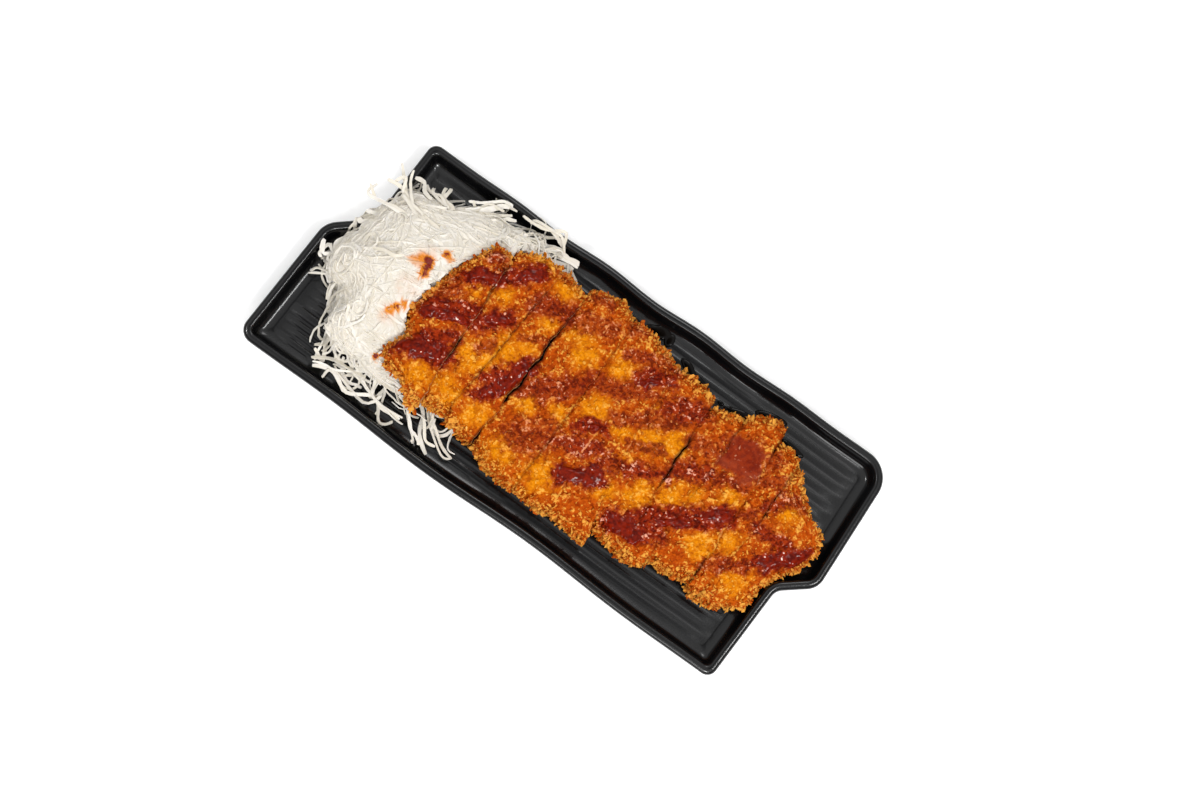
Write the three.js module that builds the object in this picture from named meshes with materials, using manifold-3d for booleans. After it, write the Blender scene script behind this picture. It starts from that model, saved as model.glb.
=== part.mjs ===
// A black serving plate with a heap of shredded cabbage and a sliced, breaded cutlet under drizzled sauce.
// Millimetres, +Z up. The plate's long side runs along X and it stands on Z = 0.
import * as THREE from 'three';
import { mergeVertices } from 'three/addons/utils/BufferGeometryUtils.js';
import Module from 'manifold-3d';

const wasm = await Module();
wasm.setup();

// Clearance kept between pieces that lie against each other
const GAP = 0.3;

// Corners closer than this are one corner
const WELD = 1e-3;

// Plate heights and wall
const RIM_Z = 14;
const FLOOR_Z = 6;
const FLOOR_INSET = 8.6;
const SMALLEST_CORNER = 2.5;
const CORNER_STEPS = 5;

// Plate corners, anticlockwise from the far left one: x, y, radius. Each short end has a slanting step.
const CORNERS = [
  [-126.7, 63.5, 5],
  [-126.9, 16.3, 7],
  [-144.2, 0.8, 12],
  [-145.1, -65.7, 7],
  [127.8, -65.7, 5],
  [129.5, -13.9, 7],
  [145.2, -1.1, 10],
  [142.5, 66.9, 14],
];

// Long sides that wave: the corner each starts from, depth of the wave, number of waves, points along it
const WAVES = [
  { corner: 3, depth: 1.1, turns: 2, points: 15 },
  { corner: 7, depth: 0.7, turns: 4.5, points: 19 },
];

// Section of the plate from the foot, up the outside, over the rim and down to the floor: inset, height
const SECTION = [
  [10, 0],
  [7.8, 0.8],
  [2.6, 8],
  [0.4, 11.4],
  [0, 12.4],
  [0.4, 13.3],
  [1.4, RIM_Z],
  [3.2, RIM_Z],
  [4, 13.5],
  [4.5, 12.4],
  [5, 9.6],
  [5.8, 7.6],
  [7, 6.4],
  [FLOOR_INSET, FLOOR_Z],
];
const CREST = 6;

// Carved ribs along the floor
const RIB_COUNT = 23;
const RIB_PITCH = 4.9;
const RIB_HEIGHT = 0.8;
const RIB_HALF_WIDTH = 1.7;
const RIB_STEPS = 4;
const RIB_LEFT = -136;
const RIB_RIGHT = 134;
const RIB_UPPER_LEFT = -118;
const RIB_LOWER_RIGHT = 122;
const RIB_LOWER_Y = -14;
const RIB_FADE = 9;
const RIB_WANDER = 0.8;

// Cutlet
const BED_Z = FLOOR_Z + RIB_HEIGHT + GAP;
const EDGE_SHARE = 0.38;
const EDGE_ROUND = 8;
const UNDERCUT = 2.4;
const CRUMB_RELIEF = 0.45;
const SAUCE_RELIEF = 0.9;
const SLICE_ROWS = 20;
const SLICE_COLUMNS = 5;
const ROW_CROWDING = 0.07;
const END_RAGGED = 1.6;
const CUT_REACH = 40;

// Cuts through the cutlet from left to right: x at y = +40, x at y = -40, sideways bow at the middle
const CUTS = [
  [-61.4, -57, 0],
  [-39.5, -43.8, 0],
  [-23.9, -26.6, 0.4],
  [1.4, 1.4, 0.3],
  [18, 20, -1.3],
  [31, 40.4, -2.4],
  [53.8, 59, -0.9],
  [70.9, 71, 0.4],
  [90.4, 93.6, 0.6],
  [103.6, 99.6, 1.8],
];

// Uncut crust edge at the left end and at the right end: y, x
const LEFT_EDGE = [
  [-48, -73],
  [-38.5, -79],
  [-33.8, -83.5],
  [-22.5, -79.2],
  [-12.5, -85.5],
  [0, -83],
  [17, -79],
  [28, -74.6],
  [37, -69],
];
const RIGHT_EDGE = [
  [-39, 106],
  [-36, 111.4],
  [-30.4, 120],
  [-26, 122],
  [-17, 121.6],
  [-7, 126.4],
  [0, 132],
  [12, 135],
  [20, 132],
  [25.6, 119.4],
  [33, 110.4],
  [39, 107.4],
];

// Slices: far end y at the left and right side, its bulge, the same of the near end, heights of the
// underside above the bed at the left and right side, and thickness at the left and right side
const SLICES = [
  { far: [36, 33, 1], near: [-39, -46.8, 3], lift: [21, 14.5], thick: [11.5, 15.4] },
  { far: [39.6, 46.6, 3.4], near: [-41, -40, 0.3], lift: [12.4, 7.6], thick: [14.6, 15.4] },
  { far: [47.2, 43.8, 1.2], near: [-40, -44, 0.6], lift: [6.6, 2.4], thick: [14.6, 15] },
  { far: [48, 49, 5], near: [-43, -49.2, 2], lift: [0, 0], thick: [14.8, 16.6] },
  { far: [50, 46.6, 2.4], near: [-48.8, -48.4, 0.6], lift: [0, 0], thick: [14.4, 15] },
  { far: [47.6, 43.6, 0.4], near: [-46.8, -49.6, 0.6], lift: [0, 0], thick: [15, 15.2] },
  { far: [43, 41.6, 1.8], near: [-40.4, -43.4, 1], lift: [0, 0], thick: [15, 16.6] },
  { far: [38, 42.8, 0.4], near: [-43.6, -41, 2], lift: [0, 0], thick: [14.2, 14.8] },
  { far: [43.6, 51, 3], near: [-37.6, -34, 1.2], lift: [0, 0], thick: [14.6, 16] },
  { far: [42.6, 41, 3], near: [-36, -38.6, 1.8], lift: [0, 0], thick: [13.6, 13.8] },
  { far: [38.4, 37.6, 0], near: [-38.6, -38.4, 0], lift: [0, 3], thick: [13.4, 7.6] },
];

// Thick sauce drizzled across the crust: start x, y, end x, y, width
const DRIZZLE = [
  [-70.3, 30.6, -65.4, 34.5, 5],
  [-80, 8, -44, 35.6, 7],
  [-80, -12.6, -45, 11.8, 9],
  [-78, -30.4, -57.5, -17.6, 10],
  [-46, -27.8, -14.6, -3.6, 9],
  [-32, 25.6, -17.6, 34.4, 6],
  [-14, -4, -4, 8, 5],
  [-13, -27, 11, -18.6, 8],
  [2.4, -9.4, 19.4, -1.4, 6],
  [3.4, 14.6, 31.4, 27.6, 7],
  [14.4, 27.6, 27.4, 37.6, 7],
  [14, -28, 27, -23, 9],
  [35.4, -15.4, 57.4, -0.4, 5.5],
  [39.4, 18.6, 48.4, 28.6, 6],
  [57.4, 1.6, 73.4, 10.6, 6],
  [74, 26.6, 84, 26.6, 14],
  [49.4, -33.4, 70.4, -27.4, 9],
  [56.4, -22.4, 91.4, -0.4, 8],
  [101.4, 11.6, 117.4, 28.6, 6],
  [112.4, -8.4, 130.4, 6.6, 6.5],
];

// Cabbage heap: its summit, and the outline of its foot, anticlockwise from the left: x, y
const HEAP = { x: -100, y: -1, top: 36 };
const HEAP_OUTLINE = [
  [-134, -8],
  [-131, -18],
  [-121, -21],
  [-116, -30],
  [-114, -44],
  [-90, -47],
  [-60, -48],
  [-34, -43],
  [-30, -1],
  [-34, 50],
  [-52, 60],
  [-70, 55],
  [-88, 51],
  [-100, 44],
  [-122, 37],
  [-128, 20],
  [-130, 6],
];
const HEAP_FOOT = BED_Z + 1.5;
const HEAP_WALL_CLEAR = 10.5;
const REACH_STEP = 0.5;
const HEAP_SPOKES = 24;
const HEAP_RINGS = 5;
const HEAP_FULLNESS = 0.6;
const HEAP_TUCK = 0.04;
const SLICE_MARGIN = 4.5;

// Height that the slices leave free for the cabbage under them: x, z
const HEAP_BED = [
  [-86, 27.4],
  [-61, 19.2],
  [-44, 13.4],
  [-25, 9.2],
];

const SHRED_COUNT = 52;
const SHRED_WIDTH = 2.2;
const SHRED_THICKNESS = 1;
const SHRED_LENGTH = [16, 38];
const SHRED_STEPS = 3;
const SHRED_BEND = 1.1;
const SHRED_SPREAD = [0.1, 1.02];
const SHRED_SINK = 0.8;
const SHRED_ARCH = 2.4;
const SHRED_DROP = 0.7;
const CLEAR_STEPS = 8;

// Long shreds that stand out of the heap: points x, y, z
const STRAYS = [
  [[-108, 22, 31], [-120, 24, 28], [-131, 22.6, 25.2], [-136.5, 26, 24.4]],
  [[-106, 28, 29], [-118, 31, 26], [-125, 33.6, 24], [-131.5, 34, 23.6]],
  [[-106, 24, 30], [-117, 31, 27], [-121, 38, 24], [-125, 44, 23]],
  [[-112, -8, 31], [-126, -11, 22], [-133, -9, 15.5], [-135, -5, 14.5]],
  [[-112, -12, 29], [-125, -16, 19], [-133, -19, 14], [-136, -22, 14]],
  [[-96, 30, 28], [-88, 46, 19], [-80, 54, 15], [-75, 56, 14.6]],
  [[-72, 38, 19], [-62, 49, 16], [-52, 55, 14.5], [-46, 55.4, 13]],
  [[-64, 42, 17.5], [-54, 50.6, 16], [-44, 53.4, 14], [-36, 55, 13.4]],
  [[-96, -38, 16], [-86, -49, 12.4], [-74, -52, 10], [-60, -52, 9]],
  [[-84, -44, 14], [-96, -51, 12], [-104, -53.4, 9.6], [-109, -55, 9.4]],
  [[-60, -38, 12.5], [-52, -47, 10.5], [-45, -53, 9], [-40, -54, 9]],
  [[-56, -38, 12], [-46, -48, 10], [-36, -55, 9], [-30, -53, 9]],
];

const PLATE_MATERIAL = new THREE.MeshStandardMaterial({ color: 0x17181a, roughness: 0.38, metalness: 0 });
const CRUST_MATERIAL = new THREE.MeshStandardMaterial({ color: 0xc4711f, roughness: 0.6, metalness: 0 });
const CABBAGE_MATERIAL = new THREE.MeshStandardMaterial({ color: 0xece7d6, roughness: 0.5, metalness: 0 });

// Repeatable random numbers between 0 and 1
function randomSource(seed) {
  let state = seed;
  return () => {
    state = (state * 1664525 + 1013904223) % 4294967296;
    return state / 4294967296;
  };
}

const mix = THREE.MathUtils.lerp;
const clamp = THREE.MathUtils.clamp;

// Value of a list of [place, value] pairs at a place between them
function alongPairs(pairs, place) {
  let i = 0;
  while (i < pairs.length - 2 && place > pairs[i + 1][0]) {
    i += 1;
  }
  const share = (place - pairs[i][0]) / (pairs[i + 1][0] - pairs[i][0]);
  return mix(pairs[i][1], pairs[i + 1][1], clamp(share, 0, 1));
}

function geometryFrom(points, triangles) {
  const geometry = new THREE.BufferGeometry();
  geometry.setAttribute('position', new THREE.Float32BufferAttribute(points.flat(), 3));
  geometry.setIndex(triangles.flat());
  return geometry;
}

function solidFrom(geometry) {
  geometry.deleteAttribute('normal');
  geometry.deleteAttribute('uv');
  const merged = mergeVertices(geometry, WELD);
  const vertProperties = new Float32Array(merged.attributes.position.array);
  const triVerts = new Uint32Array(merged.index.array);
  return new wasm.Manifold(new wasm.Mesh({ numProp: 3, vertProperties, triVerts }));
}

function largestPiece(solid) {
  const pieces = solid.decompose();
  pieces.sort((a, b) => b.volume() - a.volume());
  const mesh = pieces[0].getMesh();
  const geometry = new THREE.BufferGeometry();
  geometry.setAttribute('position', new THREE.BufferAttribute(mesh.vertProperties, 3));
  geometry.setIndex(new THREE.BufferAttribute(mesh.triVerts, 1));
  return geometry;
}

// The outer skin of a joined solid, without sealed pockets or loose scraps, also after welding its corners
function outerSkin(solid) {
  return largestPiece(solidFrom(largestPiece(solid)));
}

// Plate

function sideOf(i, inset) {
  const [ax, ay] = CORNERS[i];
  const [bx, by] = CORNERS[(i + 1) % CORNERS.length];
  const along = new THREE.Vector2(bx - ax, by - ay).normalize();
  const inward = new THREE.Vector2(-along.y, along.x);
  const start = new THREE.Vector2(ax, ay).addScaledVector(inward, inset);
  return { start, along, inward };
}

// One rounded corner of the outline moved inward, as points on its arc
function cornerArc(i, inset) {
  const before = sideOf((i + CORNERS.length - 1) % CORNERS.length, inset);
  const after = sideOf(i, inset);
  const turn = before.along.cross(after.along);
  const offset = after.start.clone().sub(before.start);
  const tip = before.start.clone().addScaledVector(before.along, offset.cross(after.along) / turn);
  const bend = Math.atan2(turn, before.along.dot(after.along));
  const outward = CORNERS[i][2] - inset * Math.sign(turn);
  const radius = Math.max(outward, SMALLEST_CORNER);
  const reach = radius * Math.tan(Math.abs(bend) / 2);
  const centre = tip.clone().addScaledVector(before.along, -reach);
  centre.addScaledVector(before.inward, radius * Math.sign(turn));
  const spoke = before.inward.clone().multiplyScalar(-radius * Math.sign(turn));
  const arc = [];
  for (let k = 0; k <= CORNER_STEPS; k += 1) {
    arc.push(spoke.clone().rotateAround(new THREE.Vector2(), (bend * k) / CORNER_STEPS).add(centre));
  }
  return arc;
}

function plateOutline(inset) {
  const outline = [];
  CORNERS.forEach((corner, i) => {
    const arc = cornerArc(i, inset);
    outline.push(...arc);
    const wave = WAVES.find((side) => side.corner === i);
    if (!wave) {
      return;
    }
    const from = arc[CORNER_STEPS];
    const to = cornerArc((i + 1) % CORNERS.length, inset)[0];
    const { inward } = sideOf(i, inset);
    for (let k = 1; k < wave.points; k += 1) {
      const share = k / wave.points;
      const swing = Math.sin(Math.PI * 2 * wave.turns * share) * Math.sin(Math.PI * share);
      outline.push(from.clone().lerp(to, share).addScaledVector(inward, wave.depth * swing));
    }
  });
  return outline;
}

function plateBody() {
  const rings = SECTION.map(([inset, z]) => plateOutline(inset).map((p) => [p.x, p.y, z]));
  const count = rings[0].length;
  const triangles = [];
  for (let r = 0; r + 1 < rings.length; r += 1) {
    for (let k = 0; k < count; k += 1) {
      const next = (k + 1) % count;
      const a = r * count + k;
      const b = r * count + next;
      triangles.push([a, b, b + count], [a, b + count, a + count]);
    }
  }
  const foot = THREE.ShapeUtils.triangulateShape(plateOutline(SECTION[0][0]), []);
  foot.forEach(([a, b, c]) => triangles.push([a, c, b]));
  const last = (rings.length - 1) * count;
  const floor = THREE.ShapeUtils.triangulateShape(plateOutline(FLOOR_INSET), []);
  floor.forEach(([a, b, c]) => triangles.push([a + last, b + last, c + last]));
  return geometryFrom(rings.flat(), triangles);
}

// A low ridge along the floor that sinks into it at both ends
function rib(from, to, y, random) {
  const points = [];
  const triangles = [];
  const base = FLOOR_Z - RIB_HEIGHT / 2;
  for (let k = 0; k <= RIB_STEPS; k += 1) {
    const end = k === 0 || k === RIB_STEPS;
    const x = mix(from, to, k / RIB_STEPS);
    const yk = y + (random() - 0.5) * RIB_WANDER;
    const crest = end ? FLOOR_Z - RIB_HEIGHT / 4 : FLOOR_Z + RIB_HEIGHT * mix(0.75, 1, random());
    points.push([x, yk - RIB_HALF_WIDTH, base], [x, yk + RIB_HALF_WIDTH, base], [x, yk, crest]);
  }
  for (let k = 0; k < RIB_STEPS; k += 1) {
    for (let side = 0; side < 3; side += 1) {
      const a = 3 * k + side;
      const b = 3 * k + ((side + 1) % 3);
      triangles.push([a, b, b + 3], [a, b + 3, a + 3]);
    }
  }
  const last = 3 * RIB_STEPS;
  triangles.push([0, 2, 1], [last, last + 1, last + 2]);
  return geometryFrom(points, triangles);
}

function plate() {
  const random = randomSource(11);
  let solid = solidFrom(plateBody());
  for (let i = 0; i < RIB_COUNT; i += 1) {
    const y = (i - (RIB_COUNT - 1) / 2) * RIB_PITCH + (random() - 0.5) * RIB_WANDER;
    const from = (y > 0 ? RIB_UPPER_LEFT : RIB_LEFT) + random() * RIB_FADE;
    const to = (y > RIB_LOWER_Y ? RIB_RIGHT : RIB_LOWER_RIGHT) - random() * RIB_FADE;
    solid = solid.add(solidFrom(rib(from, to, y, random)));
  }
  return outerSkin(solid);
}

// How far a place lies inside the plate's outline; negative outside
const PLATE_EDGE = plateOutline(0);
function insideDistance(x, y) {
  const place = new THREE.Vector3(x, y, 0);
  const foot = new THREE.Vector3();
  let nearest = Infinity;
  let inside = false;
  PLATE_EDGE.forEach((a, i) => {
    const b = PLATE_EDGE[(i + 1) % PLATE_EDGE.length];
    const edge = new THREE.Line3(new THREE.Vector3(a.x, a.y, 0), new THREE.Vector3(b.x, b.y, 0));
    edge.closestPointToPoint(place, true, foot);
    nearest = Math.min(nearest, foot.distanceTo(place));
    if (a.y > y !== b.y > y && x < a.x + ((y - a.y) / (b.y - a.y)) * (b.x - a.x)) {
      inside = !inside;
    }
  });
  return inside ? nearest : -nearest;
}

// Upper surface of the plate, with the floor taken at the top of its ribs
function plateTop(x, y) {
  const inset = insideDistance(x, y);
  if (inset <= SECTION[CREST][0]) {
    return inset < -1 ? 0 : RIM_Z;
  }
  return Math.max(alongPairs(SECTION.slice(CREST), inset), FLOOR_Z + RIB_HEIGHT);
}

// Cutlet

function cutAt(i, y) {
  const [far, near, bow] = CUTS[i];
  const share = y / CUT_REACH;
  return mix(near, far, (share + 1) / 2) + bow * (1 - share * share);
}

// Left and right border of a slice at a distance along it
function borders(i, y) {
  const left = i === 0 ? alongPairs(LEFT_EDGE, y) : cutAt(i - 1, y) + GAP / 2;
  const right = i === CUTS.length ? alongPairs(RIGHT_EDGE, y) : cutAt(i, y) - GAP / 2;
  return [left, right];
}

function endAt([left, right, bulge], across, side) {
  return mix(left, right, across) + side * bulge * 4 * across * (1 - across);
}

// Height of the sauce above the crust
function sauceAt(x, y) {
  const place = new THREE.Vector3(x, y, 0);
  const foot = new THREE.Vector3();
  let height = 0;
  DRIZZLE.forEach(([ax, ay, bx, by, width]) => {
    const stroke = new THREE.Line3(new THREE.Vector3(ax, ay, 0), new THREE.Vector3(bx, by, 0));
    stroke.closestPointToPoint(place, true, foot);
    const share = foot.distanceTo(place) / (width / 2);
    height = Math.max(height, SAUCE_RELIEF * (1 - share * share));
  });
  return height;
}

function slice(i) {
  const spec = SLICES[i];
  const random = randomSource(101 + i);
  const rowPoints = SLICE_COLUMNS + 1;
  const top = [];
  const under = [];
  for (let r = 0; r <= SLICE_ROWS; r += 1) {
    const even = r / SLICE_ROWS;
    const along = even - ROW_CROWDING * Math.sin(Math.PI * 2 * even);
    for (let c = 0; c < rowPoints; c += 1) {
      const across = c / SLICE_COLUMNS;
      const far = endAt(spec.far, across, 1);
      const near = endAt(spec.near, across, -1);
      const endRow = r === 0 || r === SLICE_ROWS;
      const ragged = endRow ? (random() - 0.5) * END_RAGGED : 0;
      const y = mix(near, far, along) + ragged;
      const [left, right] = borders(i, y);
      const x = mix(left, right, across);
      const bed = BED_Z + mix(spec.lift[0], spec.lift[1], across);
      const thickness = mix(spec.thick[0], spec.thick[1], across);
      const toEnd = Math.min(y - near, far - y);
      const toLeft = i === 0 ? x - left : Infinity;
      const toRight = i === CUTS.length ? right - x : Infinity;
      const inward = clamp(Math.min(toEnd, toLeft, toRight) / EDGE_ROUND, 0, 1);
      const round = mix(EDGE_SHARE, 1, Math.sqrt(1 - (1 - inward) ** 2));
      const crumb = CRUMB_RELIEF * (2 * random() - 1);
      top.push([x, y, bed + thickness * round + crumb + sauceAt(x, y)]);
      under.push([x, y, bed]);
    }
  }
  return closedSlice(i, top, under, rowPoints);
}

// Joins a slice's upper face to its flat underside, which stands back under the two crusted ends
function closedSlice(i, top, under, rowPoints) {
  const triangles = [];
  const rim = [];
  for (let r = 0; r < SLICE_ROWS; r += 1) {
    for (let c = 0; c < SLICE_COLUMNS; c += 1) {
      const a = r * rowPoints + c;
      const d = a + rowPoints;
      triangles.push([a, a + 1, d + 1], [a, d + 1, d]);
    }
  }
  const last = SLICE_ROWS * rowPoints;
  for (let c = 0; c < SLICE_COLUMNS; c += 1) {
    rim.push(c);
  }
  for (let r = 0; r < SLICE_ROWS; r += 1) {
    rim.push(r * rowPoints + SLICE_COLUMNS);
  }
  for (let c = SLICE_COLUMNS; c > 0; c -= 1) {
    rim.push(last + c);
  }
  for (let r = SLICE_ROWS; r > 0; r -= 1) {
    rim.push(r * rowPoints);
  }
  const base = top.length;
  const lower = rim.map((k) => undercutPoint(i, k, under[k], rowPoints));
  rim.forEach((k, n) => {
    const next = (n + 1) % rim.length;
    triangles.push([k, base + n, base + next], [k, base + next, rim[next]]);
  });
  const flat = lower.map(([x, y]) => new THREE.Vector2(x, y));
  const faces = THREE.ShapeUtils.triangulateShape(flat, []);
  faces.forEach(([a, b, c]) => triangles.push([base + a, base + c, base + b]));
  return geometryFrom([...top, ...lower], triangles);
}

function undercutPoint(i, k, [x, y, z], rowPoints) {
  const row = Math.floor(k / rowPoints);
  const column = k % rowPoints;
  const nearShare = clamp(1 - row / 2, 0, 1);
  const farShare = clamp(1 - (SLICE_ROWS - row) / 2, 0, 1);
  const moved = y + UNDERCUT * (nearShare - farShare);
  const [left, right] = borders(i, moved);
  if (column === 0) {
    return [left + (i === 0 ? UNDERCUT : 0), moved, z];
  }
  if (column === SLICE_COLUMNS) {
    return [right - (i === CUTS.length ? UNDERCUT : 0), moved, z];
  }
  return [mix(left, right, column / SLICE_COLUMNS), moved, z];
}

// Underside of the slice above a place, or Infinity where none lies over it
function sliceUnder(x, y, margin) {
  for (let i = 0; i < SLICES.length; i += 1) {
    const [left, right] = borders(i, y);
    const across = clamp((x - left) / (right - left), 0, 1);
    const far = endAt(SLICES[i].far, across, 1) + margin;
    const near = endAt(SLICES[i].near, across, -1) - margin;
    if (x > left - margin && x < right + margin && y < far && y > near) {
      return BED_Z + mix(SLICES[i].lift[0], SLICES[i].lift[1], across);
    }
  }
  return Infinity;
}

// Cabbage

// Directions from the summit to the outline's points and their distances, carried on past a full turn
function heapDirections() {
  const around = HEAP_OUTLINE.map(([x, y]) => {
    return [Math.atan2(y - HEAP.y, x - HEAP.x), Math.hypot(x - HEAP.x, y - HEAP.y)];
  });
  const first = around[0];
  const last = around[around.length - 1];
  const turn = Math.PI * 2;
  return [[last[0] - turn, last[1]], ...around, [first[0] + turn, first[1]]];
}

// Distance from the summit at which the heap would meet the floor in a direction
const HEAP_DIRECTIONS = heapDirections();
function heapSpread(angle) {
  return alongPairs(HEAP_DIRECTIONS, Math.atan2(Math.sin(angle), Math.cos(angle)));
}

// The same distance, held clear of the plate's wall
function heapReach(angle) {
  let reach = heapSpread(angle);
  const across = Math.cos(angle);
  const away = Math.sin(angle);
  while (insideDistance(HEAP.x + reach * across, HEAP.y + reach * away) < HEAP_WALL_CLEAR) {
    reach -= REACH_STEP;
  }
  return reach;
}

function heapTop(x, y) {
  const angle = Math.atan2(y - HEAP.y, x - HEAP.x);
  const share = Math.min(1, Math.hypot(x - HEAP.x, y - HEAP.y) / heapSpread(angle));
  const dome = mix(HEAP_FOOT, HEAP.top, (1 - share ** 2) ** HEAP_FULLNESS);
  const covered = sliceUnder(x, y, SLICE_MARGIN) < Infinity;
  return covered ? Math.min(dome, alongPairs(HEAP_BED, x) - SHRED_THICKNESS) : dome;
}

function heapCore() {
  const points = [[HEAP.x, HEAP.y, HEAP.top]];
  const triangles = [];
  for (let ring = 1; ring <= HEAP_RINGS; ring += 1) {
    const share = Math.sin((ring / HEAP_RINGS) * (Math.PI / 2));
    for (let k = 0; k < HEAP_SPOKES; k += 1) {
      const angle = (k / HEAP_SPOKES) * Math.PI * 2;
      const reach = heapReach(angle) * share;
      const x = HEAP.x + reach * Math.cos(angle);
      const y = HEAP.y + reach * Math.sin(angle);
      points.push([x, y, heapTop(x, y)]);
    }
  }
  const edge = 1 + (HEAP_RINGS - 1) * HEAP_SPOKES;
  for (let k = 0; k < HEAP_SPOKES; k += 1) {
    const [x, y] = points[edge + k];
    points.push([mix(x, HEAP.x, HEAP_TUCK), mix(y, HEAP.y, HEAP_TUCK), BED_Z]);
  }
  points.push([HEAP.x, HEAP.y, BED_Z]);
  const bottom = points.length - 1;
  for (let k = 0; k < HEAP_SPOKES; k += 1) {
    const next = (k + 1) % HEAP_SPOKES;
    triangles.push([0, 1 + k, 1 + next]);
    for (let ring = 0; ring < HEAP_RINGS; ring += 1) {
      const a = 1 + ring * HEAP_SPOKES + k;
      const b = 1 + ring * HEAP_SPOKES + next;
      triangles.push([a, a + HEAP_SPOKES, b + HEAP_SPOKES], [a, b + HEAP_SPOKES, b]);
    }
    const last = 1 + HEAP_RINGS * HEAP_SPOKES;
    triangles.push([bottom, last + next, last + k]);
  }
  return geometryFrom(points, triangles);
}

// Four corners of a shred's section at one of its points
function shredSection(path, k) {
  const before = path[Math.max(k - 1, 0)];
  const after = path[Math.min(k + 1, path.length - 1)];
  const along = after.clone().sub(before).normalize();
  const side = along.clone().cross(new THREE.Vector3(0, 0, 1)).normalize();
  const up = side.clone().cross(along);
  const half = [SHRED_WIDTH / 2, SHRED_THICKNESS / 2];
  return [[-1, -1], [1, -1], [1, 1], [-1, 1]].map(([s, u]) => {
    const corner = path[k].clone().addScaledVector(side, s * half[0]);
    return corner.addScaledVector(up, u * half[1]);
  });
}

function shred(path) {
  const points = [];
  const triangles = [];
  path.forEach((point, k) => {
    shredSection(path, k).forEach((corner) => points.push(corner.toArray()));
  });
  for (let k = 0; k + 1 < path.length; k += 1) {
    for (let side = 0; side < 4; side += 1) {
      const a = 4 * k + side;
      const b = 4 * k + ((side + 1) % 4);
      triangles.push([a, b + 4, b], [a, a + 4, b + 4]);
    }
  }
  const last = 4 * (path.length - 1);
  triangles.push([0, 1, 2], [0, 2, 3]);
  triangles.push([last, last + 2, last + 1], [last, last + 3, last + 2]);
  return geometryFrom(points, triangles);
}

// True where a shred's section clears the plate and the slices
function clearAt(corners) {
  return corners.every(({ x, y, z }) => {
    const abovePlate = z > plateTop(x, y) + GAP;
    return abovePlate && z < sliceUnder(x, y, SHRED_WIDTH) - GAP;
  });
}

// Keeps the part of a shred's path that clears its neighbours, counted from its first point
function clearedPath(path) {
  for (let k = 0; k < path.length; k += 1) {
    const here = shredSection(path, k);
    const there = shredSection(path, Math.min(k + 1, path.length - 1));
    for (let n = 0; n < CLEAR_STEPS; n += 1) {
      if (!clearAt(here.map((corner, c) => corner.clone().lerp(there[c], n / CLEAR_STEPS)))) {
        return path.slice(0, k);
      }
    }
  }
  return path;
}

// A place on the heap that no slice covers
function openPlace(random) {
  let place;
  do {
    const angle = random() * Math.PI * 2;
    const reach = heapReach(angle) * mix(SHRED_SPREAD[0], SHRED_SPREAD[1], Math.sqrt(random()));
    place = new THREE.Vector2(HEAP.x + reach * Math.cos(angle), HEAP.y + reach * Math.sin(angle));
  } while (sliceUnder(place.x, place.y, SHRED_WIDTH) < Infinity);
  return place;
}

// A shred that lies on the heap in a gentle bend and hangs down past its foot
function lyingPath(random) {
  const place = openPlace(random);
  let heading = random() * Math.PI * 2;
  const step = mix(SHRED_LENGTH[0], SHRED_LENGTH[1], random()) / SHRED_STEPS;
  const bend = (random() - 0.5) * SHRED_BEND;
  const path = [];
  for (let k = 0; k <= SHRED_STEPS; k += 1) {
    const { x, y } = place;
    const reach = heapReach(Math.atan2(y - HEAP.y, x - HEAP.x));
    const past = Math.max(0, Math.hypot(x - HEAP.x, y - HEAP.y) - reach);
    const rest = plateTop(x, y) + GAP + SHRED_THICKNESS;
    const arch = k === 0 || k === SHRED_STEPS ? -SHRED_SINK : SHRED_ARCH * random();
    const z = Math.max(heapTop(x, y) - SHRED_DROP * past + arch, rest);
    path.push(new THREE.Vector3(x, y, z));
    place.x += step * Math.cos(heading);
    place.y += step * Math.sin(heading);
    heading += bend;
  }
  return path;
}

function cabbage() {
  const random = randomSource(31);
  const paths = STRAYS.map((points) => points.map((p) => new THREE.Vector3(...p)));
  for (let i = 0; i < SHRED_COUNT; i += 1) {
    paths.push(lyingPath(random));
  }
  let solid = solidFrom(heapCore());
  paths.map(clearedPath).filter((path) => path.length > 1).forEach((path) => {
    solid = solid.add(solidFrom(shred(path)));
  });
  return outerSkin(solid);
}

const group = new THREE.Group();

function addPiece(name, geometry, material) {
  const mesh = new THREE.Mesh(geometry, material);
  mesh.name = name;
  group.add(mesh);
}

addPiece('plate', plate(), PLATE_MATERIAL);
addPiece('cabbage', cabbage(), CABBAGE_MATERIAL);
SLICES.forEach((spec, i) => addPiece(`slice_${i + 1}`, slice(i), CRUST_MATERIAL));

export default group;
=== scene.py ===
"""Looks of a black serving plate with shredded cabbage and a sliced, breaded cutlet under drizzled sauce.

Sizes are in millimetres and become metres where a mesh is made. The plate's long side runs along X.
"""

import math

import bmesh
import bpy
import numpy as np
from mathutils import Matrix, Vector


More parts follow.
